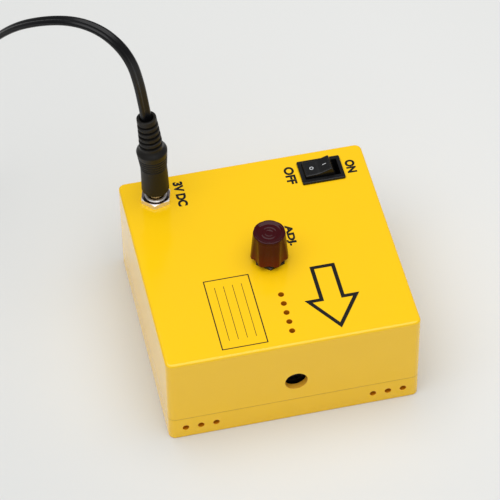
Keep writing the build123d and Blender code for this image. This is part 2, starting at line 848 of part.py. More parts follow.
print("lead bend radii", [round(bend, 1) for bend in lead_bends])
with BuildPart() as supply_cord:
    with BuildLine() as lead_route:
        FilletPolyline(*lead_points, radius=lead_bends)
    with BuildSketch(Plane(origin=lead_start, z_dir=lead_start_heading)):
        Circle(lead_radius)
    sweep(path=lead_route.line)
supply_cord.part.label = "supply_cord"
export_step(supply_cord.part, "parts/supply_cord.step")
free_length = lead_route.wire().length
tube_share = supply_cord.part.volume / (pi * lead_radius**2 * free_length)
print("free lead", round(free_length, 1), "tube volume over section times length", round(tube_share, 4))

# The rest of the lead, coiled on the table in two layers: inwards on the table, up
# to the second layer in the half turn where the spiral reverses, and out again
coil_pitch = 2 * lead_radius + coil_play
coil_rate = coil_pitch / (2 * pi)
coil_heading = lead_table_headings[-1]
coil_turned = 2 * pi * coil_full_turns + radians(coil_end_heading - coil_heading)
coil_spread = coil_rate * coil_turned / 2
coil_middle_radius = (lead_length - free_length - coil_straight - coil_tail) / coil_turned
coil_outer_radius = coil_middle_radius + coil_spread / 2
coil_lead_angle = atan2(coil_rate, coil_outer_radius)
coil_sweep = coil_turned + 2 * coil_lead_angle
coil_inner_radius = coil_outer_radius - coil_rate * coil_sweep / 2
coil_entry_angle = radians(coil_heading) - pi / 2 - coil_lead_angle
coil_entry = lead_points[-1] + step.normalized() * coil_straight
coil_middle = coil_entry - Vector(cos(coil_entry_angle), sin(coil_entry_angle), 0) * coil_outer_radius


def coil_point(turned):
    """Point on the coil after an angle of winding, and the way the lead runs there."""
    past = turned - coil_sweep / 2
    spread = abs(past)
    spread_rate = copysign(1, past)
    climb = (1 + copysign(1, past)) / 2
    climb_rate = 0
    if abs(past) < pi / 2:
        spread = past**2 / pi + pi / 4
        spread_rate = 2 * past / pi
        climb = (1 + sin(past)) / 2
        climb_rate = cos(past) / 2
    radius = coil_inner_radius + coil_rate * spread
    angle = coil_entry_angle + turned
    outwards = Vector(cos(angle), sin(angle), 0)
    onwards = Vector(-sin(angle), cos(angle), 0)
    point = coil_middle + outwards * radius + Vector(0, 0, coil_pitch * climb)
    heading = outwards * coil_rate * spread_rate + onwards * radius
    heading += Vector(0, 0, coil_pitch * climb_rate)
    return point, heading.normalized()


layer_sweep = coil_sweep / 2 - pi / 2
layer_steps = [layer_sweep * count / coil_steps_per_layer for count in range(coil_steps_per_layer + 1)]
coil_marks = layer_steps + [coil_sweep / 2] + [coil_sweep - mark for mark in reversed(layer_steps)]
with BuildPart() as cord_coil:
    with BuildLine() as coil_route:
        Line(lead_points[-1], coil_entry)
        for mark, next_mark in zip(coil_marks, coil_marks[1:]):
            start, leaving = coil_point(mark)
            end, arriving = coil_point(next_mark)
            chord = end - start
            headings = leaving + arriving
            turn_term = 2 * (leaving.dot(arriving) - 1)
            chord_term = -2 * chord.dot(headings)
            root = sqrt(chord_term**2 - 4 * turn_term * chord.dot(chord))
            reach = (-chord_term - root) / (2 * turn_term)
            first_corner = start + leaving * reach
            second_corner = end - arriving * reach
            join = (first_corner + second_corner) * 0.5
            TangentArc(start, join, tangent=leaving)
            TangentArc(join, end, tangent=second_corner - first_corner)
        Line(end, end + arriving * coil_tail)
    with BuildSketch(Plane(origin=lead_points[-1], z_dir=step)):
        Circle(lead_radius)
    sweep(path=coil_route.line)
cord_coil.part.label = "cord_coil"
export_step(cord_coil.part, "parts/cord_coil.step")
coil_end = end + arriving * coil_tail
coil_length = coil_route.wire().length
coil_share = cord_coil.part.volume / (pi * lead_radius**2 * coil_length)
print("coil", round(coil_length, 1), "tube volume over section times length", round(coil_share, 4))
print("coil middle radius", round(coil_middle_radius, 2))

# Least gap of the coil to itself, measured between points a quarter turn or more apart
gap_steps = 900
gap_points = [coil_point(coil_sweep * count / gap_steps)[0] for count in range(gap_steps + 1)]
points_apart = int(gap_steps * (pi / 2) / coil_sweep)
least_gap = min(
    (gap_points[first] - gap_points[second]).length - 2 * lead_radius
    for first in range(gap_steps + 1)
    for second in range(first + points_apart, gap_steps + 1)
)
print("least gap in the coil", round(least_gap, 3))

# Grooved boot that guards the lead where it enters the plug-in supply
relief_face = Plane(origin=coil_end, x_dir=(0, -1, 0), z_dir=(1, 0, 0))
boot_taper = (supply_relief_root_radius - supply_relief_tip_radius) / supply_relief_length
boot_outline = [(0, 0), (0, supply_relief_tip_radius)]
for groove in range(supply_relief_grooves):
    groove_start = (groove + 1) * supply_relief_groove_pitch
    for along, depth in ((0, 0), (0, 1), (1, 1), (1, 0)):
        boot_x = groove_start + along * supply_relief_groove_width
        boot_radius = supply_relief_tip_radius + boot_taper * boot_x
        boot_outline.append((boot_x, boot_radius - depth * supply_relief_groove_depth))
boot_outline += [(supply_relief_length, supply_relief_root_radius), (supply_relief_length, 0)]
with BuildPart() as supply_strain_relief:
    with BuildSketch(relief_face):
        with BuildLine():
            Polyline(*boot_outline, close=True)
        make_face()
    revolve(axis=Axis(coil_end, (0, -1, 0)))
supply_strain_relief.part.label = "supply_strain_relief"
export_step(supply_strain_relief.part, "parts/supply_strain_relief.step")


def across_supply(behind):
    """Plane square to the plug-in supply's length, this far from its rear face."""
    return Plane(
        origin=(coil_end.X, coil_end.Y - supply_relief_length - behind, supply_height / 2),
        x_dir=(1, 0, 0),
        z_dir=(0, -1, 0),
    )


# Rear shell of the plug-in supply, open towards the pins, with two ribs for its board
supply_inside_width = supply_width - 2 * supply_wall
supply_inside_height = supply_height - 2 * supply_wall
supply_inside_radius = supply_corner_radius - supply_wall
with BuildPart() as supply_rear_case:
    with BuildSketch(across_supply(0)):
        RectangleRounded(supply_width, supply_height, supply_corner_radius)
    extrude(amount=supply_rear_length)
    fillet(supply_rear_case.edges().group_by(Axis.Y)[-1], supply_edge_radius)
    with BuildSketch(across_supply(supply_wall)):
        RectangleRounded(supply_inside_width, supply_inside_height, supply_inside_radius)
    extrude(amount=supply_rear_length - supply_wall, mode=Mode.SUBTRACT)
    with BuildSketch(across_supply(supply_wall)):
        with Locations((0, (supply_rib_height - supply_inside_height) / 2)):
            with GridLocations(supply_rib_spread, supply_rib_spread, 2, 1):
                Rectangle(supply_rib_width, supply_rib_height)
    extrude(amount=supply_rib_length)
supply_rear_case.part.label = "supply_rear_case"
export_step(supply_rear_case.part, "parts/supply_rear_case.step")

# Front shell of the plug-in supply, with the nose that holds the mains pins
supply_nose_y = supply_rear_length + supply_front_length
with BuildPart() as supply_front_case:
    with BuildSketch(across_supply(supply_rear_length)):
        RectangleRounded(supply_width, supply_height, supply_corner_radius)
    extrude(amount=supply_front_length)
    fillet(supply_front_case.edges().group_by(Axis.Y)[0], supply_edge_radius)
    with BuildSketch(across_supply(supply_rear_length)):
        RectangleRounded(supply_inside_width, supply_inside_height, supply_inside_radius)
    extrude(amount=supply_front_length - supply_front_thickness, mode=Mode.SUBTRACT)
    with BuildSketch(across_supply(supply_nose_y)):
        RectangleRounded(supply_nose_width, supply_nose_height, supply_corner_radius)
    extrude(amount=supply_nose_length)
    with BuildSketch(across_supply(supply_nose_y + supply_nose_length)):
        with GridLocations(mains_pin_spread, mains_pin_spread, 2, 1):
            Circle(mains_pin_radius + fixed_gap)
    extrude(amount=-mains_pin_socket, mode=Mode.SUBTRACT)
supply_front_case.part.label = "supply_front_case"
export_step(supply_front_case.part, "parts/supply_front_case.step")

# Two round mains pins
with BuildPart() as mains_pins:
    with BuildSketch(across_supply(supply_nose_y + supply_nose_length - mains_pin_socket)):
        with GridLocations(mains_pin_spread, mains_pin_spread, 2, 1):
            Circle(mains_pin_radius)
    extrude(amount=mains_pin_socket + mains_pin_length)
    chamfer(mains_pins.edges().group_by(Axis.Y)[0], mains_pin_radius / 2)
mains_pins.part.label = "mains_pins"
export_step(mains_pins.part, "parts/mains_pins.step")

# Circuit board of the plug-in supply, lying on the ribs
supply_board_z = supply_wall + supply_rib_height
supply_inside_y = coil_end.Y - supply_relief_length - supply_wall
supply_board_y = supply_inside_y - rest_gap - supply_board_length / 2
with BuildPart() as supply_board:
    with BuildSketch(Plane.XY.offset(supply_board_z)):
        with Locations((coil_end.X, supply_board_y)):
            Rectangle(supply_board_width, supply_board_length)
    extrude(amount=board_thickness)
supply_board.part.label = "supply_board"
export_step(supply_board.part, "parts/supply_board.step")

# Transformer of the plug-in supply: a block of core plates round a wider winding
transformer_foot = supply_board_z + board_thickness
with BuildPart() as supply_transformer:
    with BuildSketch(Plane.XY.offset(transformer_foot)):
        with Locations((coil_end.X, supply_board_y)):
            Rectangle(transformer_width, transformer_core_length)
    extrude(amount=transformer_height)
    with BuildSketch(Plane.XY.offset(transformer_foot + transformer_frame)):
        with Locations((coil_end.X, supply_board_y)):
            RectangleRounded(
                transformer_width - 2 * transformer_frame, transformer_winding_length, transformer_frame
            )
    extrude(amount=transformer_height - 2 * transformer_frame)
supply_transformer.part.label = "supply_transformer"
export_step(supply_transformer.part, "parts/supply_transformer.step")

# Frame of the rocker switch: a bezel on the case's top, a deep box below it, barbs
# that snap under the case's top and slots in its floor for the tags
switch_wall_plane = Plane(origin=(switch_x, switch_y, 0), x_dir=(1, 0, 0), z_dir=(0, -1, 0))
with BuildPart() as switch_frame:
    with BuildSketch(Plane.XY.offset(case_height)):
        with Locations((switch_x, switch_y)):
            RectangleRounded(bezel_width, bezel_depth, bezel_corner_radius)
    extrude(amount=bezel_height)
    fillet(switch_frame.edges().group_by(Axis.Z)[-1], bezel_edge_radius)
    with BuildSketch(Plane.XY.offset(switch_bottom)):
        with Locations((switch_x, switch_y)):
            Rectangle(switch_body_width, switch_body_depth)
    extrude(amount=switch_body_below)
    barb_top = ceiling_height - drop_in_gap
    for side in (-1, 1):
        with BuildSketch(switch_wall_plane):
            with BuildLine():
                Polyline(
                    (side * switch_body_width / 2, barb_top),
                    (side * (switch_body_width / 2 + switch_barb_reach), barb_top),
                    (side * switch_body_width / 2, barb_top - switch_barb_length),
                    close=True,
                )
            make_face()
        extrude(amount=switch_barb_width / 2, both=True)
    with BuildSketch(Plane.XY.offset(switch_floor)):
        with Locations((switch_x, switch_y)):
            Rectangle(switch_mouth_width, switch_mouth_depth)
    extrude(amount=case_height + bezel_height - switch_floor, mode=Mode.SUBTRACT)
    with BuildSketch(switch_wall_plane):
        with Locations((0, rocker_pivot_z)):
            Circle(trunnion_radius + turning_gap)
    extrude(amount=switch_body_depth / 2, both=True, mode=Mode.SUBTRACT)
    with BuildSketch(Plane.XY.offset(switch_bottom)):
        for tag_x in (switch_x - switch_tag_step, switch_x):
            with Locations((tag_x, switch_y)):
                Rectangle(switch_tag_thickness + 2 * fixed_gap, switch_tag_width + 2 * fixed_gap)
    extrude(amount=switch_floor_thickness, mode=Mode.SUBTRACT)
switch_frame.part.label = "switch_frame"
export_step(switch_frame.part, "parts/switch_frame.step")

# Rocker, at rest with its left end down: two sloping faces that meet in a valley, a
# pivot stub on each side and a hollow stem for the plunger
rocker_up = (-sin(radians(rocker_tilt)), 0, cos(radians(rocker_tilt)))
rocker_along = (cos(radians(rocker_tilt)), 0, sin(radians(rocker_tilt)))
rocker_pivot = Vector(switch_x, switch_y, rocker_pivot_z)
rocker_side = Plane(origin=rocker_pivot, x_dir=rocker_along, z_dir=(0, -1, 0))
with BuildPart() as switch_rocker:
    with BuildSketch(rocker_side) as rocker_outline:
        with BuildLine():
            Polyline(
                (0, rocker_valley_height),
                (rocker_half_length, rocker_tip_height),
                (rocker_half_length, rocker_shoulder_height),
                (rocker_belly_half_width, -rocker_belly_depth),
                (-rocker_belly_half_width, -rocker_belly_depth),
                (-rocker_half_length, rocker_shoulder_height),
                (-rocker_half_length, rocker_tip_height),
                close=True,
            )
        make_face()
        fillet(rocker_outline.vertices().sort_by(Axis.Y)[-2:], rocker_tip_radius)
    extrude(amount=rocker_width / 2, both=True)
    with BuildSketch(rocker_side):
        Circle(trunnion_radius)
    extrude(amount=rocker_width / 2 + trunnion_length, both=True)
    stem_foot = rocker_pivot - Vector(*rocker_up) * rocker_stem_end
    with BuildSketch(Plane(origin=stem_foot, x_dir=rocker_along, z_dir=rocker_up)):
        Circle(rocker_stem_radius)
    extrude(amount=rocker_stem_end)
    with BuildSketch(Plane(origin=stem_foot, x_dir=rocker_along, z_dir=rocker_up)):
        Circle(plunger_radius + turning_gap)
    extrude(amount=rocker_stem_end + plunger_bore_top, mode=Mode.SUBTRACT)
switch_rocker.part.label = "switch_rocker"
export_step(switch_rocker.part, "parts/switch_rocker.step")

# Plunger with a round nose, which the spring in the rocker's stem presses down
plunger_top = plunger_length - plunger_tip_below_pivot
with BuildPart() as switch_plunger:
    with BuildSketch(rocker_side):
        with BuildLine():
            Polyline(
                (0, -plunger_tip_below_pivot),
                (0, plunger_top),
                (plunger_radius, plunger_top),
                (plunger_radius, plunger_radius - plunger_tip_below_pivot),
            )
            CenterArc((0, plunger_radius - plunger_tip_below_pivot), plunger_radius, 0, -90)
        make_face()
    revolve(axis=Axis(rocker_pivot, rocker_up))
switch_plunger.part.label = "switch_plunger"
export_step(switch_plunger.part, "parts/switch_plunger.step")

# Spring between the plunger and the end of its bore
switch_spring = coil_spring(
    rocker_pivot + Vector(*rocker_up) * plunger_top, rocker_up, plunger_bore_top - plunger_top,
    switch_spring_radius, switch_spring_wire, switch_spring_turns,
)
switch_spring.part.label = "switch_spring"
export_step(switch_spring.part, "parts/switch_spring.step")

# Contact blade that the plunger tips from side to side on its knuckle
with BuildPart() as switch_contact:
    blade_along = (cos(radians(contact_tilt)), 0, -sin(radians(contact_tilt)))
    blade_side = Plane(origin=(switch_x, switch_y, contact_z), x_dir=blade_along, z_dir=(0, -1, 0))
    with BuildSketch(blade_side):
        Rectangle(contact_length, contact_thickness)
        Circle(contact_knuckle_radius)
        with Locations((0, contact_knuckle_radius + contact_thickness / 2)):
            Rectangle(2 * contact_knuckle_radius, 2 * contact_knuckle_radius, mode=Mode.SUBTRACT)
    extrude(amount=contact_width / 2, both=True)
switch_contact.part.label = "switch_contact"
export_step(switch_contact.part, "parts/switch_contact.step")

# Two tags of the switch: the middle one carries the blade, the left one is touched
# by it when the switch is on
with BuildPart() as switch_terminals:
    for tag_x, tag_top in (
        (switch_x, switch_post_top),
        (switch_x - switch_tag_step, switch_post_top - switch_tag_drop),
    ):
        with BuildSketch(Plane.XY.offset(switch_tag_end)):
            with Locations((tag_x, switch_y)):
                Rectangle(switch_tag_thickness, switch_tag_width)
        extrude(amount=tag_top - switch_tag_end)
switch_terminals.part.label = "switch_terminals"
export_step(switch_terminals.part, "parts/switch_terminals.step")

# Knob: a tapering cap with leaning scallops round it and a shallow dish in its top
knob_top = knob_bottom + knob_height
dish_floor = knob_top - knob_dish_depth
with BuildPart() as knob_cap:
    with BuildSketch(knob_plane):
        with BuildLine():
            Polyline(
                (0, knob_bottom),
                (knob_base_radius, knob_bottom),
                (knob_top_radius, knob_top - knob_rim_chamfer),
                (knob_top_radius - knob_rim_chamfer, knob_top),
                (knob_dish_radius, knob_top),
                (knob_dish_radius - knob_dish_depth / 2, dish_floor),
                (knob_button_radius, dish_floor),
                (knob_button_radius, dish_floor + knob_button_height),
                (0, dish_floor + knob_button_height),
                close=True,
            )
        make_face()
    revolve(axis=knob_axis)
    flute_low = knob_base_radius - knob_flute_depth_low + knob_flute_radius
    flute_high = knob_top_radius - knob_flute_depth_high + knob_flute_radius
    for flute in range(knob_flutes):
        flute_angle = radians(knob_first_ridge + (flute + 0.5) * 360 / knob_flutes)
        outwards = Vector(cos(flute_angle), sin(flute_angle), 0)
        flute_foot = Vector(middle_x, knob_y, knob_bottom) + outwards * flute_low
        flute_run = outwards * (flute_high - flute_low) + Vector(0, 0, knob_height)
        with BuildSketch(Plane(origin=flute_foot - flute_run * 0.2, z_dir=flute_run)):
            Circle(knob_flute_radius)
        extrude(amount=1.4 * flute_run.length, mode=Mode.SUBTRACT)
    with BuildSketch(Plane.XY.offset(knob_bottom)):
        with Locations((middle_x, knob_y)):
            Circle(knob_insert_radius + fixed_gap)
    extrude(amount=knob_insert_length, mode=Mode.SUBTRACT)
knob_cap.part.label = "knob_cap"
export_step(knob_cap.part, "parts/knob_cap.step")

# Brass insert moulded into the knob, bored for the adjusting screw
with BuildPart() as knob_insert:
    with BuildSketch(Plane.XY.offset(knob_bottom)):
        with Locations((middle_x, knob_y)):
            Circle(knob_insert_radius)
    extrude(amount=knob_insert_length)
    with BuildSketch(Plane.XY.offset(knob_bottom)):
        with Locations((middle_x, knob_y)):
            Circle(adjuster_radius + fixed_gap)
    extrude(amount=adjuster_in_knob, mode=Mode.SUBTRACT)
knob_insert.part.label = "knob_insert"
export_step(knob_insert.part, "parts/knob_insert.step")

# Fine-thread screw from the knob down to the thrust foot
with BuildPart() as adjuster_screw:
    with BuildSketch(Plane.XY.offset(adjuster_bottom)):
        with Locations((middle_x, knob_y)):
            Circle(adjuster_radius)
    extrude(amount=adjuster_top - adjuster_bottom)
adjuster_screw.part.label = "adjuster_screw"
export_step(adjuster_screw.part, "parts/adjuster_screw.step")

# Thrust foot: the screw turns in its socket and its crowned end presses on the cradle
with BuildPart() as thrust_foot:
    foot_bend = (thrust_foot_radius**2 + thrust_foot_crown**2) / (2 * thrust_foot_crown)
    with BuildSketch(knob_plane):
        with BuildLine():
            Polyline(
                (thrust_foot_radius, thrust_foot_bottom + thrust_foot_crown),
                (thrust_foot_radius, thrust_foot_top),
                (0, thrust_foot_top),
                (0, thrust_foot_bottom),
            )
            ThreePointArc(
                (0, thrust_foot_bottom),
                (
                    foot_bend * sin(asin(thrust_foot_radius / foot_bend) / 2),
                    thrust_foot_bottom + foot_bend * (1 - cos(asin(thrust_foot_radius / foot_bend) / 2)),
                ),
                (thrust_foot_radius, thrust_foot_bottom + thrust_foot_crown),
            )
        make_face()
    revolve(axis=knob_axis)
    with BuildSketch(Plane.XY.offset(thrust_foot_top)):
        with Locations((middle_x, knob_y)):
            Circle(adjuster_radius + turning_gap)
    extrude(amount=-thrust_foot_socket, mode=Mode.SUBTRACT)
thrust_foot.part.label = "thrust_foot"
export_step(thrust_foot.part, "parts/thrust_foot.step")

# Threaded bushing that guides the screw, flanged under the case's top
with BuildPart() as adjuster_bushing:
    with BuildSketch(Plane.XY.offset(bushing_bottom)):
        with Locations((middle_x, knob_y)):
            Circle(bushing_radius)
    extrude(amount=bushing_top - bushing_bottom)
    with BuildSketch(Plane.XY.offset(ceiling_height - bushing_flange_thickness)):
        with Locations((middle_x, knob_y)):
            Circle(bushing_flange_radius)
    extrude(amount=bushing_flange_thickness)
    with BuildSketch(Plane.XY.offset(bushing_bottom)):
        with Locations((middle_x, knob_y)):
            Circle(adjuster_radius + turning_gap)
    extrude(amount=bushing_top - bushing_bottom, mode=Mode.SUBTRACT)
adjuster_bushing.part.label = "adjuster_bushing"
export_step(adjuster_bushing.part, "parts/adjuster_bushing.step")

# Hexagon nut that clamps the bushing to the case
bushing_nut = hexagon_nut(
    middle_x, knob_y, case_height, bushing_nut_across_flats, bushing_nut_thickness,
    bushing_radius + fixed_gap, bushing_nut_turn,
)
bushing_nut.part.label = "bushing_nut"
export_step(bushing_nut.part, "parts/bushing_nut.step")

# Barrel of the laser, with a web that the diode seats against
with BuildPart() as laser_barrel:
    with BuildSketch(laser_plane):
        with BuildLine():
            Polyline(
                (barrel_front_y, barrel_bore_radius),
                (barrel_front_y, laser_radius),
                (barrel_back_y, laser_radius),
                (barrel_back_y, diode_flange_radius + fixed_gap),
                (diode_seat_y, diode_flange_radius + fixed_gap),
                (diode_seat_y, diode_cap_radius + drop_in_gap),
                (spring_seat_y, diode_cap_radius + drop_in_gap),
                (spring_seat_y, barrel_bore_radius),
                close=True,
            )
        make_face()
    revolve(axis=laser_axis)
laser_barrel.part.label = "laser_barrel"
export_step(laser_barrel.part, "parts/laser_barrel.step")

# Lens cell that screws into the front of the barrel
lens_seat_y = barrel_front_y
lens_cell_back_y = barrel_front_y + lens_cell_length
with BuildPart() as lens_cell:
    with BuildSketch(laser_plane):
        with BuildLine():
            Polyline(
                (laser_front_y, lens_mouth_radius + drop_in_gap),
                (laser_front_y, lens_ring_radius),
                (barrel_front_y, lens_ring_radius),
                (barrel_front_y, barrel_bore_radius - turning_gap),
                (lens_cell_back_y, barrel_bore_radius - turning_gap),
                (lens_cell_back_y, lens_radius + fixed_gap),
                (lens_seat_y, lens_radius + fixed_gap),
                (lens_seat_y, lens_mouth_radius + drop_in_gap),
                close=True,
            )
        make_face()
    revolve(axis=laser_axis)
lens_cell.part.label = "lens_cell"
export_step(lens_cell.part, "parts/lens_cell.step")

# Collimating lens: a flat rim against the cell's seat and a crown through its mouth
with BuildPart() as collimating_lens:
    lens_bend = (lens_mouth_radius**2 + lens_crown_height**2) / (2 * lens_crown_height)
    lens_half_angle = asin(lens_mouth_radius / lens_bend) / 2
    lens_crown_y = lens_seat_y - lens_crown_height
    with BuildSketch(laser_plane):
        with BuildLine():
            Polyline(
                (lens_crown_y, 0),
                (lens_seat_y + lens_edge_thickness, 0),
                (lens_seat_y + lens_edge_thickness, lens_radius),
                (lens_seat_y, lens_radius),
                (lens_seat_y, lens_mouth_radius),
            )
            ThreePointArc(
                (lens_seat_y, lens_mouth_radius),
                (
                    lens_crown_y + lens_bend * (1 - cos(lens_half_angle)),
                    lens_bend * sin(lens_half_angle),
                ),
                (lens_crown_y, 0),
            )
        make_face()
    revolve(axis=laser_axis)
collimating_lens.part.label = "collimating_lens"
export_step(collimating_lens.part, "parts/collimating_lens.step")

# Spring that keeps play out of the lens cell's thread
focus_spring = coil_spring(
    (middle_x, lens_cell_back_y, beam_height), (0, 1, 0), spring_seat_y - lens_cell_back_y,
    focus_spring_radius, focus_spring_wire, focus_spring_turns,
)
focus_spring.part.label = "focus_spring"
export_step(focus_spring.part, "parts/focus_spring.step")

# Laser diode: a round base, its cap and three leads
with BuildPart() as laser_diode:
    with BuildSketch(across_beam(diode_seat_y)):
        Circle(diode_flange_radius)
    extrude(amount=diode_flange_thickness)
    with BuildSketch(across_beam(diode_seat_y)):
        Circle(diode_cap_radius)
    extrude(amount=-diode_cap_height)
    with BuildSketch(across_beam(diode_seat_y + diode_flange_thickness)):
        with PolarLocations(diode_lead_circle, 3, start_angle=90):
            Circle(diode_lead_radius)
    extrude(amount=driver_board_y - diode_seat_y - diode_flange_thickness)
laser_diode.part.label = "laser_diode"
export_step(laser_diode.part, "parts/laser_diode.step")

# Small circuit board on the diode's leads, with its driver chip
with BuildPart() as laser_driver_board:
    with BuildSketch(across_beam(driver_board_y)):
        Rectangle(driver_board_width, driver_board_width)
    extrude(amount=driver_board_thickness)
    with BuildSketch(across_beam(driver_board_y + driver_board_thickness)):
        with Locations((0, -driver_board_width / 4)):
            Rectangle(driver_chip_size, driver_chip_size)
    extrude(amount=driver_chip_height)
laser_driver_board.part.label = "laser_driver_board"
export_step(laser_driver_board.part, "parts/laser_driver_board.step")

# Cradle: a saddle for the barrel, a lug on the pivot and a tail under the knob
with BuildPart() as laser_cradle:
    with BuildSketch(Plane.XY.offset(saddle_bottom)):
        with Locations((middle_x, (saddle_front_y + saddle_back_y) / 2)):
            Rectangle(2 * saddle_half_width, saddle_back_y - saddle_front_y)
    extrude(amount=saddle_top - saddle_bottom)
    with BuildSketch(Plane.XY.offset(saddle_top)):
        with Locations((middle_x, clamp_y)):
            Rectangle(2 * clamp_half_width, clamp_length)
    extrude(amount=-clamp_ear_depth)
    with BuildSketch(across_x.offset(-pivot_lug_half_width)):
        with Locations((pivot_y, (pivot_height + saddle_bottom) / 2)):
            Rectangle(2 * pivot_lug_radius, saddle_bottom - pivot_height)
        with Locations((pivot_y, pivot_height)):
            Circle(pivot_lug_radius)
    extrude(amount=2 * pivot_lug_half_width)
    with BuildSketch(Plane.XY.offset(saddle_bottom)):
        with Locations((middle_x, (saddle_back_y + knob_y) / 2)):
            Rectangle(tail_width, knob_y - saddle_back_y)
    extrude(amount=tail_thickness)
    with BuildSketch(Plane.XY.offset(saddle_bottom)):
        with Locations((middle_x, knob_y)):
            Circle(tail_pad_radius)
    extrude(amount=tail_pad_height)
    with BuildSketch(across_beam(saddle_front_y)):
        Circle(laser_radius + fixed_gap)
    extrude(amount=driver_board_y - saddle_front_y, mode=Mode.SUBTRACT)
    with BuildSketch(across_x.offset(-pivot_lug_half_width)):
        with Locations((pivot_y, pivot_height)):
            Circle(pivot_pin_radius + turning_gap)
    extrude(amount=2 * pivot_lug_half_width, mode=Mode.SUBTRACT)
    with BuildSketch(Plane.XY.offset(saddle_bottom)):
        with Locations((middle_x, knob_y)):
            Circle(return_spring_pocket_radius)
    extrude(amount=return_spring_pocket_depth, mode=Mode.SUBTRACT)
    with BuildSketch(Plane.XY.offset(saddle_top)):
        with Locations((middle_x, clamp_y)):
            with GridLocations(2 * clamp_screw_x, clamp_screw_x, 2, 1):
                Circle(clamp_screw_radius + fixed_gap)
    extrude(amount=-clamp_ear_depth, mode=Mode.SUBTRACT)
laser_cradle.part.label = "laser_cradle"
export_step(laser_cradle.part, "parts/laser_cradle.step")

# Half clamp over the barrel, with a flange on each side
clamp_bottom = saddle_top + clamp_split
with BuildPart() as clamp_cap:
    with BuildSketch(across_beam(clamp_y - clamp_length / 2)):
        Circle(laser_radius + fixed_gap + clamp_ring_wall)
    extrude(amount=clamp_length)
    with BuildSketch(Plane.XY.offset(clamp_bottom)):
        with Locations((middle_x, clamp_y)):
            Rectangle(2 * clamp_half_width, clamp_length)
    extrude(amount=clamp_flange_thickness)
    with BuildSketch(across_beam(clamp_y - clamp_length / 2)):
        Circle(laser_radius + fixed_gap)
        with Locations((0, clamp_bottom - beam_height - clamp_half_width)):
            Rectangle(2 * clamp_half_width, 2 * clamp_half_width)
    extrude(amount=clamp_length, mode=Mode.SUBTRACT)
    with BuildSketch(Plane.XY.offset(clamp_bottom)):
        with Locations((middle_x, clamp_y)):
            with GridLocations(2 * clamp_screw_x, clamp_screw_x, 2, 1):
                Circle(clamp_screw_radius + drop_in_gap)
    extrude(amount=clamp_flange_thickness, mode=Mode.SUBTRACT)
clamp_cap.part.label = "clamp_cap"
export_step(clamp_cap.part, "parts/clamp_cap.step")

# Two screws that pull the clamp down
clamp_top = clamp_bottom + clamp_flange_thickness
with BuildPart() as clamp_screws:
    with BuildSketch(Plane.XY.offset(clamp_top)):
        with Locations((middle_x, clamp_y)):
            with GridLocations(2 * clamp_screw_x, clamp_screw_x, 2, 1):
                Circle(clamp_head_radius)
    extrude(amount=clamp_head_height)
    with BuildSketch(Plane.XY.offset(clamp_top)):
        with Locations((middle_x, clamp_y)):
            with GridLocations(2 * clamp_screw_x, clamp_screw_x, 2, 1):
                Circle(clamp_screw_radius)
    extrude(amount=-clamp_flange_thickness - clamp_split - clamp_screw_grip)
    with BuildSketch(Plane.XY.offset(clamp_top + clamp_head_height)):
        with Locations((middle_x, clamp_y)):
            with GridLocations(2 * clamp_screw_x, clamp_screw_x, 2, 1):
                Rectangle(1.4 * clamp_head_radius, driver_slot_width)
    extrude(amount=-driver_slot_depth, mode=Mode.SUBTRACT)
clamp_screws.part.label = "clamp_screws"
export_step(clamp_screws.part, "parts/clamp_screws.step")

# Pin that the cradle tilts on, held by the lower shell's ears
with BuildPart() as pivot_pin:
    pin_half_length = ear_inner_x + pivot_ear_thickness + pivot_pin_overhang
    with BuildSketch(across_x.offset(-pin_half_length)):
        with Locations((pivot_y, pivot_height)):
            Circle(pivot_pin_radius)
    extrude(amount=2 * pin_half_length)
pivot_pin.part.label = "pivot_pin"
export_step(pivot_pin.part, "parts/pivot_pin.step")

# Spring that pushes the cradle's tail up against the thrust foot
return_spring = coil_spring(
    (middle_x, knob_y, floor_top), (0, 0, 1), saddle_bottom + return_spring_pocket_depth - floor_top,
    return_spring_radius, return_spring_wire, return_spring_turns,
)
return_spring.part.label = "return_spring"
export_step(return_spring.part, "parts/return_spring.step")


def on_board(place, aside=0):
    """Spot on the circuit board, from a place counted from its middle and moved aside."""
    return (place[0] + aside, board_middle_y + place[1])


# Circuit board, drilled for its screws and for every component lead
lead_holes = [on_board(capacitor_place, side * capacitor_lead_pitch / 2) for side in (-1, 1)]
lead_holes += [on_board(transistor_place, side * transistor_lead_pitch) for side in (-1, 0, 1)]
for place in resistor_places + [diode_place]:
    lead_holes += [on_board(place, side * axial_lead_reach / 2) for side in (-1, 1)]
with BuildPart() as circuit_board:
    with BuildSketch(Plane.XY.offset(board_height)):
        with Locations((0, board_middle_y)):
            Rectangle(board_width, board_depth)
            with GridLocations(board_hole_spread_x, board_hole_spread_y, 2, 2):
                Circle(board_screw_radius + drop_in_gap, mode=Mode.SUBTRACT)
        with Locations(*lead_holes):
            Circle(component_lead_radius + fixed_gap, mode=Mode.SUBTRACT)
    extrude(amount=board_thickness)
circuit_board.part.label = "circuit_board"
export_step(circuit_board.part, "parts/circuit_board.step")

# Four screws that hold the circuit board to its posts
with BuildPart() as board_screws:
    with BuildSketch(Plane.XY.offset(board_top)):
        with Locations((0, board_middle_y)):
            with GridLocations(board_hole_spread_x, board_hole_spread_y, 2, 2):
                Circle(board_screw_head_radius)
    extrude(amount=board_screw_head_height)
    with BuildSketch(Plane.XY.offset(board_top)):
        with Locations((0, board_middle_y)):
            with GridLocations(board_hole_spread_x, board_hole_spread_y, 2, 2):
                Circle(board_screw_radius)
    extrude(amount=-board_thickness - board_screw_grip)
board_screws.part.label = "board_screws"
export_step(board_screws.part, "parts/board_screws.step")

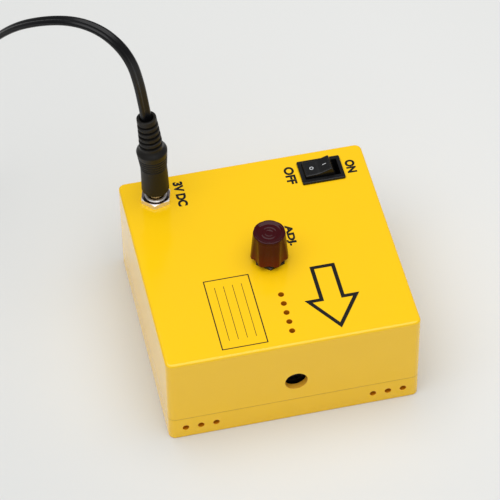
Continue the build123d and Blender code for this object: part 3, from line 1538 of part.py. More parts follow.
# Standing capacitor that smooths the supply, with its crimp ring near the foot
with BuildPart() as filter_capacitor:
    can_x, can_y = on_board(capacitor_place)
    with BuildSketch(Plane(origin=(can_x, can_y, board_top), x_dir=(1, 0, 0), z_dir=(0, -1, 0))):
        with BuildLine():
            Polyline(
                (0, 0),
                (capacitor_radius, 0),
                (capacitor_radius, 0.10 * capacitor_height),
                (0.92 * capacitor_radius, 0.14 * capacitor_height),
                (capacitor_radius, 0.18 * capacitor_height),
                (capacitor_radius, 0.96 * capacitor_height),
                (0.88 * capacitor_radius, capacitor_height),
                (0, capacitor_height),
                close=True,
            )
        make_face()
    revolve(axis=Axis((can_x, can_y, 0), (0, 0, 1)))
    with BuildSketch(Plane.XY.offset(lead_foot_z)):
        with Locations(on_board(capacitor_place)):
            with GridLocations(capacitor_lead_pitch, capacitor_lead_pitch, 2, 1):
                Circle(component_lead_radius)
    extrude(amount=board_top - lead_foot_z)
filter_capacitor.part.label = "filter_capacitor"
export_step(filter_capacitor.part, "parts/filter_capacitor.step")

# Diode that guards against a supply of the wrong polarity
protection_diode = axial_components([on_board(diode_place)], diode_body_radius, diode_body_length)
protection_diode.part.label = "protection_diode"
export_step(protection_diode.part, "parts/protection_diode.step")

# Two resistors
resistor_spots = [on_board(place) for place in resistor_places]
resistors = axial_components(resistor_spots, resistor_radius, resistor_length)
resistors.part.label = "resistors"
export_step(resistors.part, "parts/resistors.step")

# Transistor: a round body with one flat side, on three leads
with BuildPart() as driver_transistor:
    with BuildSketch(Plane.XY.offset(board_top + transistor_lift)):
        with Locations(on_board(transistor_place)):
            Circle(transistor_radius)
            with Locations((0, -transistor_flat - transistor_radius)):
                Rectangle(2 * transistor_radius, 2 * transistor_radius, mode=Mode.SUBTRACT)
    extrude(amount=transistor_height)
    with BuildSketch(Plane.XY.offset(lead_foot_z)):
        with Locations(on_board(transistor_place)):
            with GridLocations(transistor_lead_pitch, transistor_lead_pitch, 3, 1):
                Circle(component_lead_radius)
    extrude(amount=board_top + transistor_lift - lead_foot_z)
driver_transistor.part.label = "driver_transistor"
export_step(driver_transistor.part, "parts/driver_transistor.step")


def drop_to_board(x, y, z, pad):
    """Points of a wire that hangs from a tag, crosses over and stands on its pad."""
    spot = on_board(pad)
    return [(x, y, z), (x, y, wire_run_height), (*spot, wire_run_height), (*spot, board_top)]


def wire_to_laser(side):
    """Points of a wire from its pad, past the cradle's tail, up to the driver board."""
    lane_x = middle_x + side * laser_wire_side
    end_x = middle_x + side * laser_wire_end_side
    end_y = driver_board_y + driver_board_thickness + drop_in_gap
    return [
        (lane_x, laser_pad_y, board_top),
        (lane_x, laser_pad_y, wire_run_height),
        (lane_x, laser_wire_turn_y, wire_run_height),
        (end_x, laser_wire_rise_y, laser_wire_end_height),
        (end_x, end_y, laser_wire_end_height),
    ]


# Red wire from the inlet's centre pin to the circuit board
inlet_wire_red = bent_wire(drop_to_board(jack_x, jack_y, jack_tail_end, inlet_pads[0]))
inlet_wire_red.part.label = "inlet_wire_red"
export_step(inlet_wire_red.part, "parts/inlet_wire_red.step")

# Black wire from the inlet's tag to the circuit board
inlet_wire_black = bent_wire(
    drop_to_board(jack_x + jack_tag_offset, jack_y, jack_tag_end, inlet_pads[1])
)
inlet_wire_black.part.label = "inlet_wire_black"
export_step(inlet_wire_black.part, "parts/inlet_wire_black.step")

# Wire from the circuit board to the switch's left tag
switch_wire_in = bent_wire(
    drop_to_board(switch_x - switch_tag_step, switch_y, switch_tag_end, switch_pads[1])
)
switch_wire_in.part.label = "switch_wire_in"
export_step(switch_wire_in.part, "parts/switch_wire_in.step")

# Wire from the switch's middle tag back to the circuit board
switch_wire_out = bent_wire(drop_to_board(switch_x, switch_y, switch_tag_end, switch_pads[0]))
switch_wire_out.part.label = "switch_wire_out"
export_step(switch_wire_out.part, "parts/switch_wire_out.step")

# Red wire from the circuit board to the laser
laser_wire_red = bent_wire(wire_to_laser(-1))
laser_wire_red.part.label = "laser_wire_red"
export_step(laser_wire_red.part, "parts/laser_wire_red.step")

# Black wire from the circuit board to the laser
laser_wire_black = bent_wire(wire_to_laser(1))
laser_wire_black.part.label = "laser_wire_black"
export_step(laser_wire_black.part, "parts/laser_wire_black.step")
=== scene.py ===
from math import cos, pi, radians, sin

import bpy
import numpy as np
from mathutils import Matrix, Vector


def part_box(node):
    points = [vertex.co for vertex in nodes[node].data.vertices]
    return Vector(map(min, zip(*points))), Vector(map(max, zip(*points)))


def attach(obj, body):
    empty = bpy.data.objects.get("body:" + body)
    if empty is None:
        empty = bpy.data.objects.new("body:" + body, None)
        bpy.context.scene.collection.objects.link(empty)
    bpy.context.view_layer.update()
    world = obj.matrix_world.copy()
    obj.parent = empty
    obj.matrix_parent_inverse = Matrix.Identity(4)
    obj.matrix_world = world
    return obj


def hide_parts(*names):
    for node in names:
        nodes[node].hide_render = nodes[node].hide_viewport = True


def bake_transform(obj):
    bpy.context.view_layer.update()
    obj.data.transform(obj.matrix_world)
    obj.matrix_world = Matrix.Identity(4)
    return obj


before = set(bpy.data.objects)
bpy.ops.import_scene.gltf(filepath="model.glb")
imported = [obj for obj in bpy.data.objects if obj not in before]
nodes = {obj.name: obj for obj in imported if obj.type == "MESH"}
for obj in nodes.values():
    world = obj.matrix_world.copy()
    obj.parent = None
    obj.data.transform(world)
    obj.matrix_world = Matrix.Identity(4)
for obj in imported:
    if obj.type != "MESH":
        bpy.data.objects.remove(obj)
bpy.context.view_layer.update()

# Camera
# A long lens looks down on the case from in front and a little to its left. Its level
# directions come from the azimuth and elevation, and then it leans over a trifle.
camera_azimuth = radians(11.88)
camera_elevation = radians(48.15)
camera_lean = radians(-1.016)
upright = np.array([0.0, 0.0, 1.0])
level_right = np.array([cos(camera_azimuth), -sin(camera_azimuth), 0.0])
level_ahead = np.array([sin(camera_azimuth), cos(camera_azimuth), 0.0])
looking = cos(camera_elevation) * level_ahead - sin(camera_elevation) * upright
level_up = np.cross(level_right, looking)
camera_right = level_right * cos(camera_lean) + level_up * sin(camera_lean)
camera_up = level_up * cos(camera_lean) - level_right * sin(camera_lean)
camera_place = np.array([-0.140897, -0.641766, 0.773855])
camera_lens = bpy.data.cameras.new("camera")
camera_lens.lens = 201.516
camera_lens.sensor_width = 36.0
camera_lens.clip_start = 0.05
camera_lens.clip_end = 30.0


def new_object(name, data):
    """New object of that name in the scene, made of a mesh, a light or a camera."""
    piece = bpy.data.objects.new(name, data)
    bpy.context.collection.objects.link(piece)
    return piece


def aimed(right, up, back, place):
    """Matrix of a camera or a lamp at a place, from its own three directions."""
    return Matrix(np.vstack([np.column_stack([right, up, back, place]), [0, 0, 0, 1]]).tolist())


camera = new_object("camera", camera_lens)
camera.matrix_world = aimed(camera_right, camera_up, -looking, camera_place)
bpy.context.scene.camera = camera

# Lead
# A flat twin lead of two soft black insulated wires side by side, extruded in one. It
# leaves the plug, arches over, drops to the table and lies there in a coil of two
# layers. Two round wires with a thin web between them are drawn along one smooth line.
lead_width = 0.0042
lead_web = 0.00058
lead_seat = 0.0025  # how deep the lead starts inside the plug's collar
lead_straight = 0.0094  # how far it runs straight on from the collar
plug_foot = np.array([-0.0328, 0.0342, 0.0443])
plug_lean = np.array([-0.8, 0.6, 0.0])
plug_side = np.array([0.6, 0.8, 0.0])
plug_bend_radius = 0.294
plug_length = 0.0353


def plug_line(along):
    """Points on the plug's bent centre line and its directions there: a circle arc that
    starts upright and leans over by its length divided by its radius."""
    turned = np.asarray(along, float)[..., None] / plug_bend_radius
    out = plug_bend_radius * (1 - np.cos(turned))
    points = plug_foot + out * plug_lean + plug_bend_radius * np.sin(turned) * upright
    return points, np.sin(turned) * plug_lean + np.cos(turned) * upright


def compass(heading):
    """Level direction at a heading in degrees, counted from +X towards +Y."""
    return np.array([cos(radians(heading)), sin(radians(heading)), 0.0])


def full_turn(count):
    """Evenly spaced angles round a full circle."""
    return np.linspace(0, 2 * pi, count, endpoint=False)


def unit(rows):
    """The same directions, each with a length of one."""
    return rows / np.linalg.norm(rows, axis=-1, keepdims=True)


# Places that shape the line, in millimetres: how far out from the plug's foot, and how
# far above the foot on the arch or above the table on the drop
lead_arch = [
    (4.5, 52.3), (6.4, 59.9), (10.9, 66.8), (18.3, 71.4), (28.2, 71.7),
    (39.7, 67.4), (51.8, 60.0), (62.7, 48.4), (70.1, 34.7), (74.5, 18.2),
]
lead_drop = [(78.0, 46.0), (82.0, 30.5), (88.0, 16.0), (97.5, 5.6), (110.0, 2.1)]
lead_table_run = 0.0108
lead_first_heading = 166
lead_last_heading = 191
lead_exit, lead_heading = plug_line(plug_length)
lead_points = [plug_line(plug_length - lead_seat)[0], lead_exit + lead_straight * lead_heading]
for start, places in ((plug_foot, lead_arch), (plug_foot * (1, 1, 0), lead_drop)):
    lead_points += [start + out / 1000 * plug_lean + up / 1000 * upright for out, up in places]
for heading in (lead_first_heading, lead_last_heading):
    lead_points.append(lead_points[-1] + lead_table_run * compass(heading))

# The coil's radius shrinks with the angle to the middle of the winding and grows again
# after it, and in the half turn between, the lead climbs to the second layer
coil_pitch = 0.0048
coil_middle_radius = 0.02446
coil_run_in = 0.0042
coil_run_out = (0.003, 0.0095, 0.016)  # where past the coil the line's last places lie
coil_rate = coil_pitch / (2 * pi)
coil_turned = 12 * pi + radians(270 - lead_last_heading)
coil_outer_radius = coil_middle_radius + coil_rate * coil_turned / 4
coil_lead_angle = np.arctan2(coil_rate, coil_outer_radius)
coil_sweep = coil_turned + 2 * coil_lead_angle
coil_entry_angle = radians(lead_last_heading - 90) - coil_lead_angle
coil_entry = lead_points[-1] + coil_run_in * compass(lead_last_heading)
coil_middle = coil_entry - coil_outer_radius * compass(np.degrees(coil_entry_angle))
winding = np.linspace(0, coil_sweep, 101)
past_middle = winding - coil_sweep / 2
climbing = np.abs(past_middle) < pi / 2
coil_spread = np.where(climbing, past_middle**2 / pi + pi / 4, np.abs(past_middle))
coil_climb = np.where(climbing, (1 + np.sin(past_middle)) / 2, past_middle > 0)
coil_radius = coil_outer_radius + coil_rate * (coil_spread - coil_sweep / 2)
coil_angle = coil_entry_angle + winding
coil_outward = np.column_stack([np.cos(coil_angle), np.sin(coil_angle), 0 * coil_angle])
smooth_line_gain = 1 / (0.75 + 0.25 * cos(winding[1]))  # the smooth line cuts inside its points
coil_points = coil_middle + coil_outward * (coil_radius * smooth_line_gain)[:, None]
coil_points += (coil_climb * lead_width)[:, None] * upright
coil_end = coil_middle + coil_outward[-1] * coil_outer_radius + coil_pitch * upright
lead_points += list(coil_points[1:-1])
lead_points += [coil_end - (0, past_coil, 0) for past_coil in coil_run_out]

lead_curve = bpy.data.curves.new("lead_line", "CURVE")
lead_curve.dimensions = "3D"
lead_curve.resolution_u = 8
lead_spline = lead_curve.splines.new("NURBS")
lead_spline.points.add(len(lead_points) - 1)
for spline_point, point in zip(lead_spline.points, lead_points):
    spline_point.co = (*point, 1)
lead_spline.order_u = 3
lead_spline.use_endpoint_u = True


def mesh_of(curve):
    """Turns a curve or a text into a mesh. Returns it with its vertices' places as rows."""
    holder = bpy.data.objects.new(curve.name, curve)
    mesh = bpy.data.meshes.new_from_object(holder)
    bpy.data.objects.remove(holder)
    bpy.data.curves.remove(curve)
    places = np.empty(3 * len(mesh.vertices))
    mesh.vertices.foreach_get("co", places)
    return mesh, places.reshape(-1, 3)


lead_line_mesh, lead_line = mesh_of(lead_curve)
bpy.data.meshes.remove(lead_line_mesh)
lead_line = lead_line[np.append(True, np.linalg.norm(np.diff(lead_line, axis=0), axis=1) > 1e-6)]


def skin(name, grid, joined=False, sharp_angle=40):
    """Closed mesh over a grid of points: rows run along the piece and columns round it.
    The last row is joined to the first, or else each end row is filled with one face.
    Faces are turned outwards by the sign of the volume that they enclose."""
    rows, columns, _ = grid.shape
    row, column = np.meshgrid(np.arange(rows if joined else rows - 1), np.arange(columns), indexing="ij")
    next_row = (row + 1) % rows
    beside = (column + 1) % columns
    corners = [
        row * columns + column, row * columns + beside,
        next_row * columns + beside, next_row * columns + column,
    ]
    faces = np.stack(corners, axis=-1).reshape(-1, 4)
    places = grid.reshape(-1, 3)
    first, second, third, fourth = (places[faces[:, step]] for step in range(4))
    volume = np.sum(first * (np.cross(second, third) + np.cross(third, fourth)))
    face_list = faces.tolist()
    if not joined:
        face_list += [list(range(columns))[::-1], list(range((rows - 1) * columns, rows * columns))]
        for end, side in ((0, -1), (rows - 1, 1)):
            middle = grid[end].mean(axis=0)
            ring = grid[end] - middle
            volume += side * middle @ np.cross(ring, np.roll(ring, -1, axis=0)).sum(axis=0)
    if volume < 0:
        face_list = [face[::-1] for face in face_list]
    mesh = bpy.data.meshes.new(name)
    mesh.from_pydata(places.tolist(), [], face_list)
    mesh.shade_smooth()
    mesh.set_sharp_from_angle(angle=radians(sharp_angle))
    return new_object(name, mesh)


def smooth_step(value, low, high):
    """0 below low, 1 above high and an S-shaped cubic between them."""
    part = np.clip((value - low) / (high - low), 0, 1)
    return part * part * (3 - 2 * part)


# The lead's wide side faces forward at the plug, turns square to the arch's plane and
# stands upright in the coil
lead_wide_heading = 27
twist_to_arch = (0.010, 0.080)  # from where to where along the lead it turns
twist_upright = (0.120, 0.205)
lead_along = np.append(0, np.cumsum(np.linalg.norm(np.diff(lead_line, axis=0), axis=1)))
lead_ahead = unit(np.gradient(lead_line, lead_along, axis=0))
turn_to_arch = smooth_step(lead_along, *twist_to_arch)[:, None]
turn_upright = smooth_step(lead_along, *twist_upright)[:, None]
lead_wide = (1 - turn_to_arch) * compass(lead_wide_heading) + turn_to_arch * plug_side
lead_wide = (1 - turn_upright) * lead_wide + turn_upright * upright
lead_wide = unit(lead_wide - np.sum(lead_wide * lead_ahead, axis=1)[:, None] * lead_ahead)
lead_thin = np.cross(lead_ahead, lead_wide)
wire_middle = lead_width / 4
round_lead = full_turn(36)
lead_across = lead_width / 2 * np.cos(round_lead)
lead_half = np.sqrt(np.maximum(wire_middle**2 - (np.abs(lead_across) - wire_middle) ** 2, 0))
lead_half = np.where(np.abs(lead_across) < wire_middle, np.maximum(lead_half, lead_web), lead_half)
lead_through = lead_half * np.sign(np.sin(round_lead) + 1e-9)
lead_offset = lead_wide[:, None] * lead_across[:, None] + lead_thin[:, None] * lead_through[:, None]
lead = skin("flat_twin_lead", lead_line[:, None] + lead_offset, sharp_angle=70)
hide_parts("supply_cord", "cord_coil")
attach(lead, "case")


def put(near, kind, settings=None, **links):
    """New node in the tree that a socket, node or group is in. Settings are its own
    properties. Each link names a socket, with underscores for spaces or as s and its
    number, and gives it a value or an output."""
    tree = near.id_data
    node = tree.nodes.new("ShaderNode" + kind)
    for label, value in (settings or {}).items():
        setattr(node, label, value)
    for label, value in links.items():
        socket = node.inputs[int(label[1:]) if label[1:].isdigit() else label.replace("_", " ")]
        if isinstance(value, bpy.types.NodeSocket):
            tree.links.new(value, socket)
        else:
            socket.default_value = value
    return node


def between(share, first, second):
    """Colour that goes from the first to the second as the share goes from 0 to 1."""
    ends = [(*color, 1) if isinstance(color, tuple) else color for color in (first, second)]
    return put(share, "Mix", {"data_type": "RGBA"}, s0=share, s6=ends[0], s7=ends[1]).outputs[2]


def sum_up(kind, first, second=0.0, third=0.0):
    """Result of one sum, such as ADD, MULTIPLY or GREATER_THAN. At least one of the first
    two is an output."""
    near = first if isinstance(first, bpy.types.NodeSocket) else second
    return put(near, "Math", {"operation": kind}, s0=first, s1=second, s2=third).outputs[0]


def ramp(value, low, high, at_low=0.0, at_high=1.0):
    """Goes evenly from at_low to at_high as the value goes from low to high."""
    ends = {"From_Min": low, "From_Max": high, "To_Min": at_low, "To_Max": at_high}
    return put(value, "MapRange", Value=value, **ends).outputs[0]


def band(value, middle, half_width, edge):
    """1 where the value is within a half width of the middle and 0 outside, over a soft
    edge on each side."""
    off_middle = sum_up("ABSOLUTE", sum_up("SUBTRACT", value, middle))
    return ramp(off_middle, half_width + edge, half_width - edge)


def axes(place):
    """The parts of a place along X, Y and Z."""
    return put(place, "SeparateXYZ", Vector=place).outputs


def feed(shader, **sources):
    """Links each output to the shader's socket of that name, with underscores for spaces."""
    for label, output in sources.items():
        shader.id_data.links.new(output, shader.inputs[label.replace("_", " ")])


def mark_group(name, count_name, *output_names):
    """Group of nodes that works out marks from a place and from how many there are in a
    metre. Returns the group and its own input and output sockets."""
    group = bpy.data.node_groups.new(name, "ShaderNodeTree")
    group.interface.new_socket("Vector", in_out="INPUT", socket_type="NodeSocketVector")
    group.interface.new_socket(count_name, in_out="INPUT", socket_type="NodeSocketFloat")
    for label in output_names:
        group.interface.new_socket(label, in_out="OUTPUT", socket_type="NodeSocketFloat")
    group_in = group.nodes.new("NodeGroupInput").outputs
    return group, group_in, group.nodes.new("NodeGroupOutput").inputs


# Moulded grain, which every plastic here has: a fine even roughness of the surface, and
# broad faint patches that the moulding or handling has left duller
grain_group, grain_in, grain_out = mark_group("moulded_grain", "Grains per metre", "Height", "Patches")
fine_grain = put(
    grain_group, "TexNoise", Vector=grain_in["Vector"], Scale=grain_in["Grains per metre"], Detail=3.0
)
broad_patches = put(grain_group, "TexNoise", Vector=grain_in["Vector"], Scale=55.0, Detail=4.0)
patch_share = ramp(broad_patches.outputs[0], 0.35, 0.68)
grain_group.links.new(fine_grain.outputs[0], grain_out["Height"])
grain_group.links.new(patch_share, grain_out["Patches"])


def bare_material(name, color, roughness, **constants):
    """New material of one plain colour and roughness. Returns it, its shader and the
    place on the piece that its patterns are worked out from."""
    material = bpy.data.materials.new(name)
    material.use_nodes = True
    shader = material.node_tree.nodes["Principled BSDF"]
    shader.inputs["Base Color"].default_value = (*color, 1)
    shader.inputs["Roughness"].default_value = roughness
    for label, value in constants.items():
        shader.inputs[label.replace("_", " ")].default_value = value
    return material, shader, put(shader, "TexCoord").outputs["Object"]


def bump(height, depth, strength, **more):
    """Relief from a height, for a shader's Normal."""
    return put(height, "Bump", Height=height, Distance=depth, Strength=strength, **more).outputs[0]


def worn(shader, share, colors, glosses, height, depth, strength):
    """Gives a shader the first colour and roughness where the share is 0 and the second
    where it is 1, and relief from a height. Returns the colour and the relief."""
    tone = between(share, *colors)
    relief = bump(height, depth, strength)
    feed(shader, Base_Color=tone, Roughness=ramp(share, 0, 1, *glosses), Normal=relief)
    return tone, relief


def moulded(
    name, color, dull_color, roughness, dull_roughness, grains=4000.0, grain_depth=0.00001, **constants
):
    """Moulded plastic: fine grain in relief, and duller patches between two colours and
    two roughnesses. Returns the material, its shader, place, colour and relief."""
    material, shader, place = bare_material(name, color, roughness, **constants)
    grain = put(place, "Group", {"node_tree": grain_group}, Vector=place, Grains_per_metre=grains).outputs
    colors, glosses = (color, dull_color), (roughness, dull_roughness)
    tone, relief = worn(shader, grain["Patches"], colors, glosses, grain["Height"], grain_depth, 0.6)
    return material, shader, place, tone, relief


lead_vinyl = moulded(
    "lead_vinyl", (0.0032, 0.0034, 0.0042), (0.0055, 0.0056, 0.0062), 0.24, 0.34,
    grains=1500.0, grain_depth=0.000008, Specular_IOR_Level=0.27,
)[0]
lead.data.materials.append(lead_vinyl)

# Lower shell
# A tray moulded in yellow plastic, with screw and board posts, magnet cups and pivot ears
# on its floor. The upper shell meets it at a line that shows as a fine dark groove. The
# walls of the beam's window and of the vent holes carry painted shade, darker and redder,
# for the light that bounces between them.
seam_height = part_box("base_shell")[1].z - 0.0018
seam_half_width = 0.00013
seam_edge = 0.00006
seam_strength = 0.75
seam_color = (0.60, 0.33, 0.006)
# Sizes and places of the beam's window and of the vent holes, and the painted shade on their walls
window_radius = 0.00405
window_painted_shade = (0.80, 0.42, 0.035)
top_vents = {"middle": -0.0291, "pitch": 0.00422, "count": 5, "radius": 0.00112}
front_vents = {"middle": 0.03365, "pitch": 0.00545, "count": 3, "radius": 0.00122}
front_vent_height = 0.0051
vent_depth = 0.004  # how far in from the face the holes' walls can be seen
vent_painted_shade = (0.66, 0.23, 0.002)
case_yellow, shader, place, tone, relief = moulded(
    "case_yellow", (0.95, 0.577, 0.004), (0.94, 0.567, 0.004), 0.13, 0.17,
    grains=5200.0, grain_depth=0.000001,
)
on_case = axes(place)
seam = band(on_case["Z"], seam_height, seam_half_width, seam_edge)
case_surface = between(sum_up("MULTIPLY", seam, seam_strength), tone, seam_color)


def box_middle(name):
    """Middle of a CAD node's box."""
    low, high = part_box(name)
    return (low + high) / 2


def axis_distance(across, along):
    """Distance of a place from an axis, from its two offsets from it."""
    offset = put(across, "CombineXYZ", X=across, Y=along).outputs[0]
    return put(across, "VectorMath", {"operation": "LENGTH"}, s0=offset).outputs["Value"]


def vent_walls(near, across, along, middle, pitch, count, radius):
    """1 on the walls of a row of holes, near the face that they are in. The place along
    the row is wrapped to one pitch, so it counts from the nearest hole's middle."""
    from_middle = sum_up("SUBTRACT", along, middle)
    from_nearest = sum_up("WRAP", from_middle, pitch / 2, -pitch / 2)
    in_row = sum_up("LESS_THAN", sum_up("ABSOLUTE", from_middle), count * pitch / 2)
    in_hole = sum_up("LESS_THAN", axis_distance(across, from_nearest), radius)
    return sum_up("MULTIPLY", near, sum_up("MULTIPLY", in_row, in_hole))


beam_line = box_middle("laser_barrel")
beside_beam = sum_up("SUBTRACT", on_case["X"], beam_line.x)
over_beam = sum_up("SUBTRACT", on_case["Z"], beam_line.z)
over_vents = sum_up("SUBTRACT", on_case["Z"], front_vent_height)
beside_middle = sum_up("ABSOLUTE", on_case["X"])
near_top = sum_up("GREATER_THAN", on_case["Z"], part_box("top_shell")[1].z - vent_depth)
near_front = sum_up("LESS_THAN", on_case["Y"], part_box("top_shell")[0].y + vent_depth)
# Painted shade on the walls of the beam's window and of the vent holes. The window's painted shade follows
# the beam's line through the whole case, so it also marks a round patch on the back wall.
for wall, wall_painted_shade in (
    (sum_up("LESS_THAN", axis_distance(beside_beam, over_beam), window_radius), window_painted_shade),
    (vent_walls(near_top, beside_beam, on_case["Y"], **top_vents), vent_painted_shade),
    (vent_walls(near_front, over_vents, beside_middle, **front_vents), vent_painted_shade),
):
    case_surface = between(wall, case_surface, wall_painted_shade)
seam_relief = bump(seam, 0.00015, 0.8, settings={"invert": True}, Normal=relief)
feed(shader, Base_Color=case_surface, Normal=seam_relief)


def finish(material, *names):
    """Gives CAD nodes a material in each of their slots."""
    for name in names:
        for material_slot in nodes[name].material_slots:
            material_slot.material = material


finish(case_yellow, "base_shell", "top_shell")

# Turned lines, left on round metal by the lathe: fine rings on end faces and fine lines
# round the sides, which one wave of distance from the axis plus distance along it gives
turned_group, turned_in, turned_out = mark_group("turned_lines", "Lines per metre", "Height", "Tarnish")
turned_place = axes(turned_in["Vector"])
from_axis = axis_distance(turned_place["X"], turned_place["Y"])
line_way = sum_up("ADD", from_axis, turned_place["Z"])
line_count = sum_up("MULTIPLY", line_way, turned_in["Lines per metre"])
line_wave = sum_up("SINE", sum_up("MULTIPLY", line_count, 2 * pi))
tarnish_noise = put(turned_group, "TexNoise", Vector=turned_in["Vector"], Scale=420.0, Detail=5.0)
tarnish_share = ramp(tarnish_noise.outputs[0], 0.42, 0.75)
turned_group.links.new(line_wave, turned_out["Height"])
turned_group.links.new(tarnish_share, turned_out["Tarnish"])


def turned(
    name, color, tarnish_color, roughness, lines=5000.0, line_depth=0.000004, middle=(0, 0, 0),
    lying=False, metallic=1.0,
):
    """Metal turned round an upright axis through the middle, or round one that lies
    along Y, with tarnish. Returns the material, its shader, place and colour."""
    material, shader, place = bare_material(name, color, roughness, Metallic=metallic)
    if lying:
        axis = {"Location": (-middle[0], middle[2], 0.0), "Rotation": (-pi / 2, 0.0, 0.0)}
    else:
        axis = {"Location": (-middle[0], -middle[1], 0.0)}
    centred = put(place, "Mapping", Vector=place, **axis).outputs[0]
    marks = put(place, "Group", {"node_tree": turned_group}, Vector=centred, Lines_per_metre=lines).outputs
    colors, glosses = (color, tarnish_color), (roughness, roughness + 0.12)
    tone, _ = worn(shader, marks["Tarnish"], colors, glosses, marks["Height"], line_depth, 0.5)
    return material, shader, place, tone


# Magnets
# Four nickel-plated discs, pressed into cups in the lower shell from below, flush with
# its underside, so that the case holds to a steel board.
magnet_nickel = turned("magnet_nickel", (0.62, 0.60, 0.56), (0.45, 0.43, 0.40), 0.24, lines=2500.0)[0]
finish(magnet_nickel, "holding_magnets")

# Case screws
# Four zinc-plated self-tapping screws with cross-shaped recesses. They come up through
# the lower shell into the upper shell's bosses.
zinc = turned("zinc_plate", (0.56, 0.57, 0.58), (0.40, 0.41, 0.40), 0.30, lines=6000.0)[0]
finish(zinc, "case_screws")

# Circuit board and its screws
# Green glass-fibre board on four posts. Its copper tracks show as paler lines under the
# green mask, and the cut edges show the bare laminate.
board_green, shader, place, tone, relief = moulded(
    "board_green", (0.012, 0.14, 0.045), (0.010, 0.115, 0.038), 0.32, 0.42, grains=2600.0
)
tracks = put(
    place, "TexBrick", {"offset": 0.5, "squash": 1.0}, Vector=place, Scale=120.0, Mortar_Size=0.045,
    Mortar_Smooth=0.05, Brick_Width=1.3, Row_Height=0.42,
).outputs["Fac"]
track_relief = bump(tracks, 0.00004, 0.5, Normal=relief)
feed(shader, Base_Color=between(tracks, tone, (0.05, 0.27, 0.09)), Normal=track_relief)
finish(board_green, "circuit_board", "laser_driver_board", "supply_board")
finish(zinc, "board_screws")

# Capacitor
# Standing aluminium can in a dark blue printed sleeve with a pale stripe down one side.
# The sleeve leaves a bare metal disc at the top, and the two leads are tinned.
board_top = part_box("circuit_board")[1].z
tin = (0.62, 0.61, 0.58)


def tinned(shader, share, surface):
    """Turns the surface to tinned metal where the share is 1, which is on the leads."""
    feed(shader, Base_Color=between(share, surface, tin), Metallic=share)


can_axis_x = box_middle("filter_capacitor").x
can_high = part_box("filter_capacitor")[1]
can_stripe_x = can_axis_x + 0.8 * (can_high.x - can_axis_x)
can_disc_low = can_high.z - 0.0002
can_leads_high = board_top - 0.00005
can_sleeve, shader, place, tone, _ = moulded(
    "can_sleeve", (0.010, 0.022, 0.075), (0.013, 0.026, 0.085), 0.22, 0.32
)
beside_can = axes(place)
stripe = sum_up("GREATER_THAN", beside_can["X"], can_stripe_x)
striped = between(stripe, tone, (0.62, 0.64, 0.66))
can_disc = sum_up("GREATER_THAN", beside_can["Z"], can_disc_low)
topped = between(can_disc, striped, (0.72, 0.72, 0.73))
tinned(shader, sum_up("LESS_THAN", beside_can["Z"], can_leads_high), topped)
finish(can_sleeve, "filter_capacitor")

# Diode and transistor
# Black epoxy mouldings on tinned leads. The diode has a pale ring at its cathode.
epoxy_colors = ((0.016, 0.016, 0.017), (0.024, 0.024, 0.025))
lead_shoulder = 0.0029  # how far above the board the transistor's leads go into its body
ring_half_width = 0.0003
ring_edge = 0.00002
epoxy_black, shader, place, tone, _ = moulded("epoxy_black", *epoxy_colors, 0.42, 0.55)
tinned(shader, sum_up("LESS_THAN", axes(place)["Z"], board_top + lead_shoulder), tone)
finish(epoxy_black, "driver_transistor")


def axial_body(name, color, dull_color, node_name, half_length, rings):
    """Material of a lying component: painted rings across its body, each a place along
    X from the body's middle with a colour, and tinned leads past the body's ends."""
    material, shader, place, surface, _ = moulded(name, color, dull_color, 0.35, 0.5)
    from_middle = sum_up("SUBTRACT", axes(place)["X"], box_middle(node_name).x)
    for ring_place, ring_color in rings:
        painted = band(from_middle, ring_place, ring_half_width, ring_edge)
        surface = between(painted, surface, ring_color)
    tinned(shader, sum_up("GREATER_THAN", sum_up("ABSOLUTE", from_middle), half_length), surface)
    finish(material, node_name)


cathode_ring = [(0.0018, (0.55, 0.55, 0.56))]
axial_body("diode_epoxy", *epoxy_colors, "protection_diode", 0.0026, cathode_ring)

# Resistors
# Two lacquered beige bodies with three colour rings and a gold one.
color_rings = [
    (-0.0021, (0.45, 0.16, 0.02)), (-0.0009, (0.02, 0.02, 0.02)), (0.0003, (0.35, 0.02, 0.01)),
    (0.0019, (0.55, 0.38, 0.10)),
]
lacquer_colors = ((0.60, 0.43, 0.25), (0.54, 0.38, 0.21))
axial_body("resistor_lacquer", *lacquer_colors, "resistors", 0.0032, color_rings)

# Wires inside the case
# Stranded hook-up wire in red or black insulation, soldered to tags and to the board.
wire_red = moulded("wire_red", (0.55, 0.014, 0.010), (0.46, 0.012, 0.010), 0.34, 0.46, grains=1800.0)[0]
wire_black = moulded(
    "wire_black", (0.016, 0.016, 0.017), (0.024, 0.023, 0.023), 0.36, 0.48, grains=1800.0
)[0]
finish(wire_red, "inlet_wire_red", "switch_wire_in", "laser_wire_red")
finish(wire_black, "inlet_wire_black", "switch_wire_out", "laser_wire_black")

# Cradle, clamp and pivot
# Dark grey moulded saddle for the laser, with a cap that two screws clamp over it. It
# tilts on a steel pin between the lower shell's ears, against a coil spring.
cradle_grey = moulded("cradle_grey", (0.050, 0.052, 0.056), (0.066, 0.067, 0.070), 0.45, 0.58)[0]
finish(cradle_grey, "laser_cradle", "clamp_cap")
finish(zinc, "clamp_screws", "pivot_pin")
spring_wire = turned("spring_wire", (0.52, 0.52, 0.53), (0.36, 0.35, 0.34), 0.26, lines=3000.0)[0]
finish(spring_wire, "return_spring", "focus_spring", "switch_spring")


def bending(name, start, end, slot_name):
    """Copy of a CAD piece that stands for it in its place, while the CAD piece is hidden.
    Its start and end are not used."""
    piece = new_object(name + "_flexing", nodes[name].data.copy())
    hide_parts(name)
    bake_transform(piece)


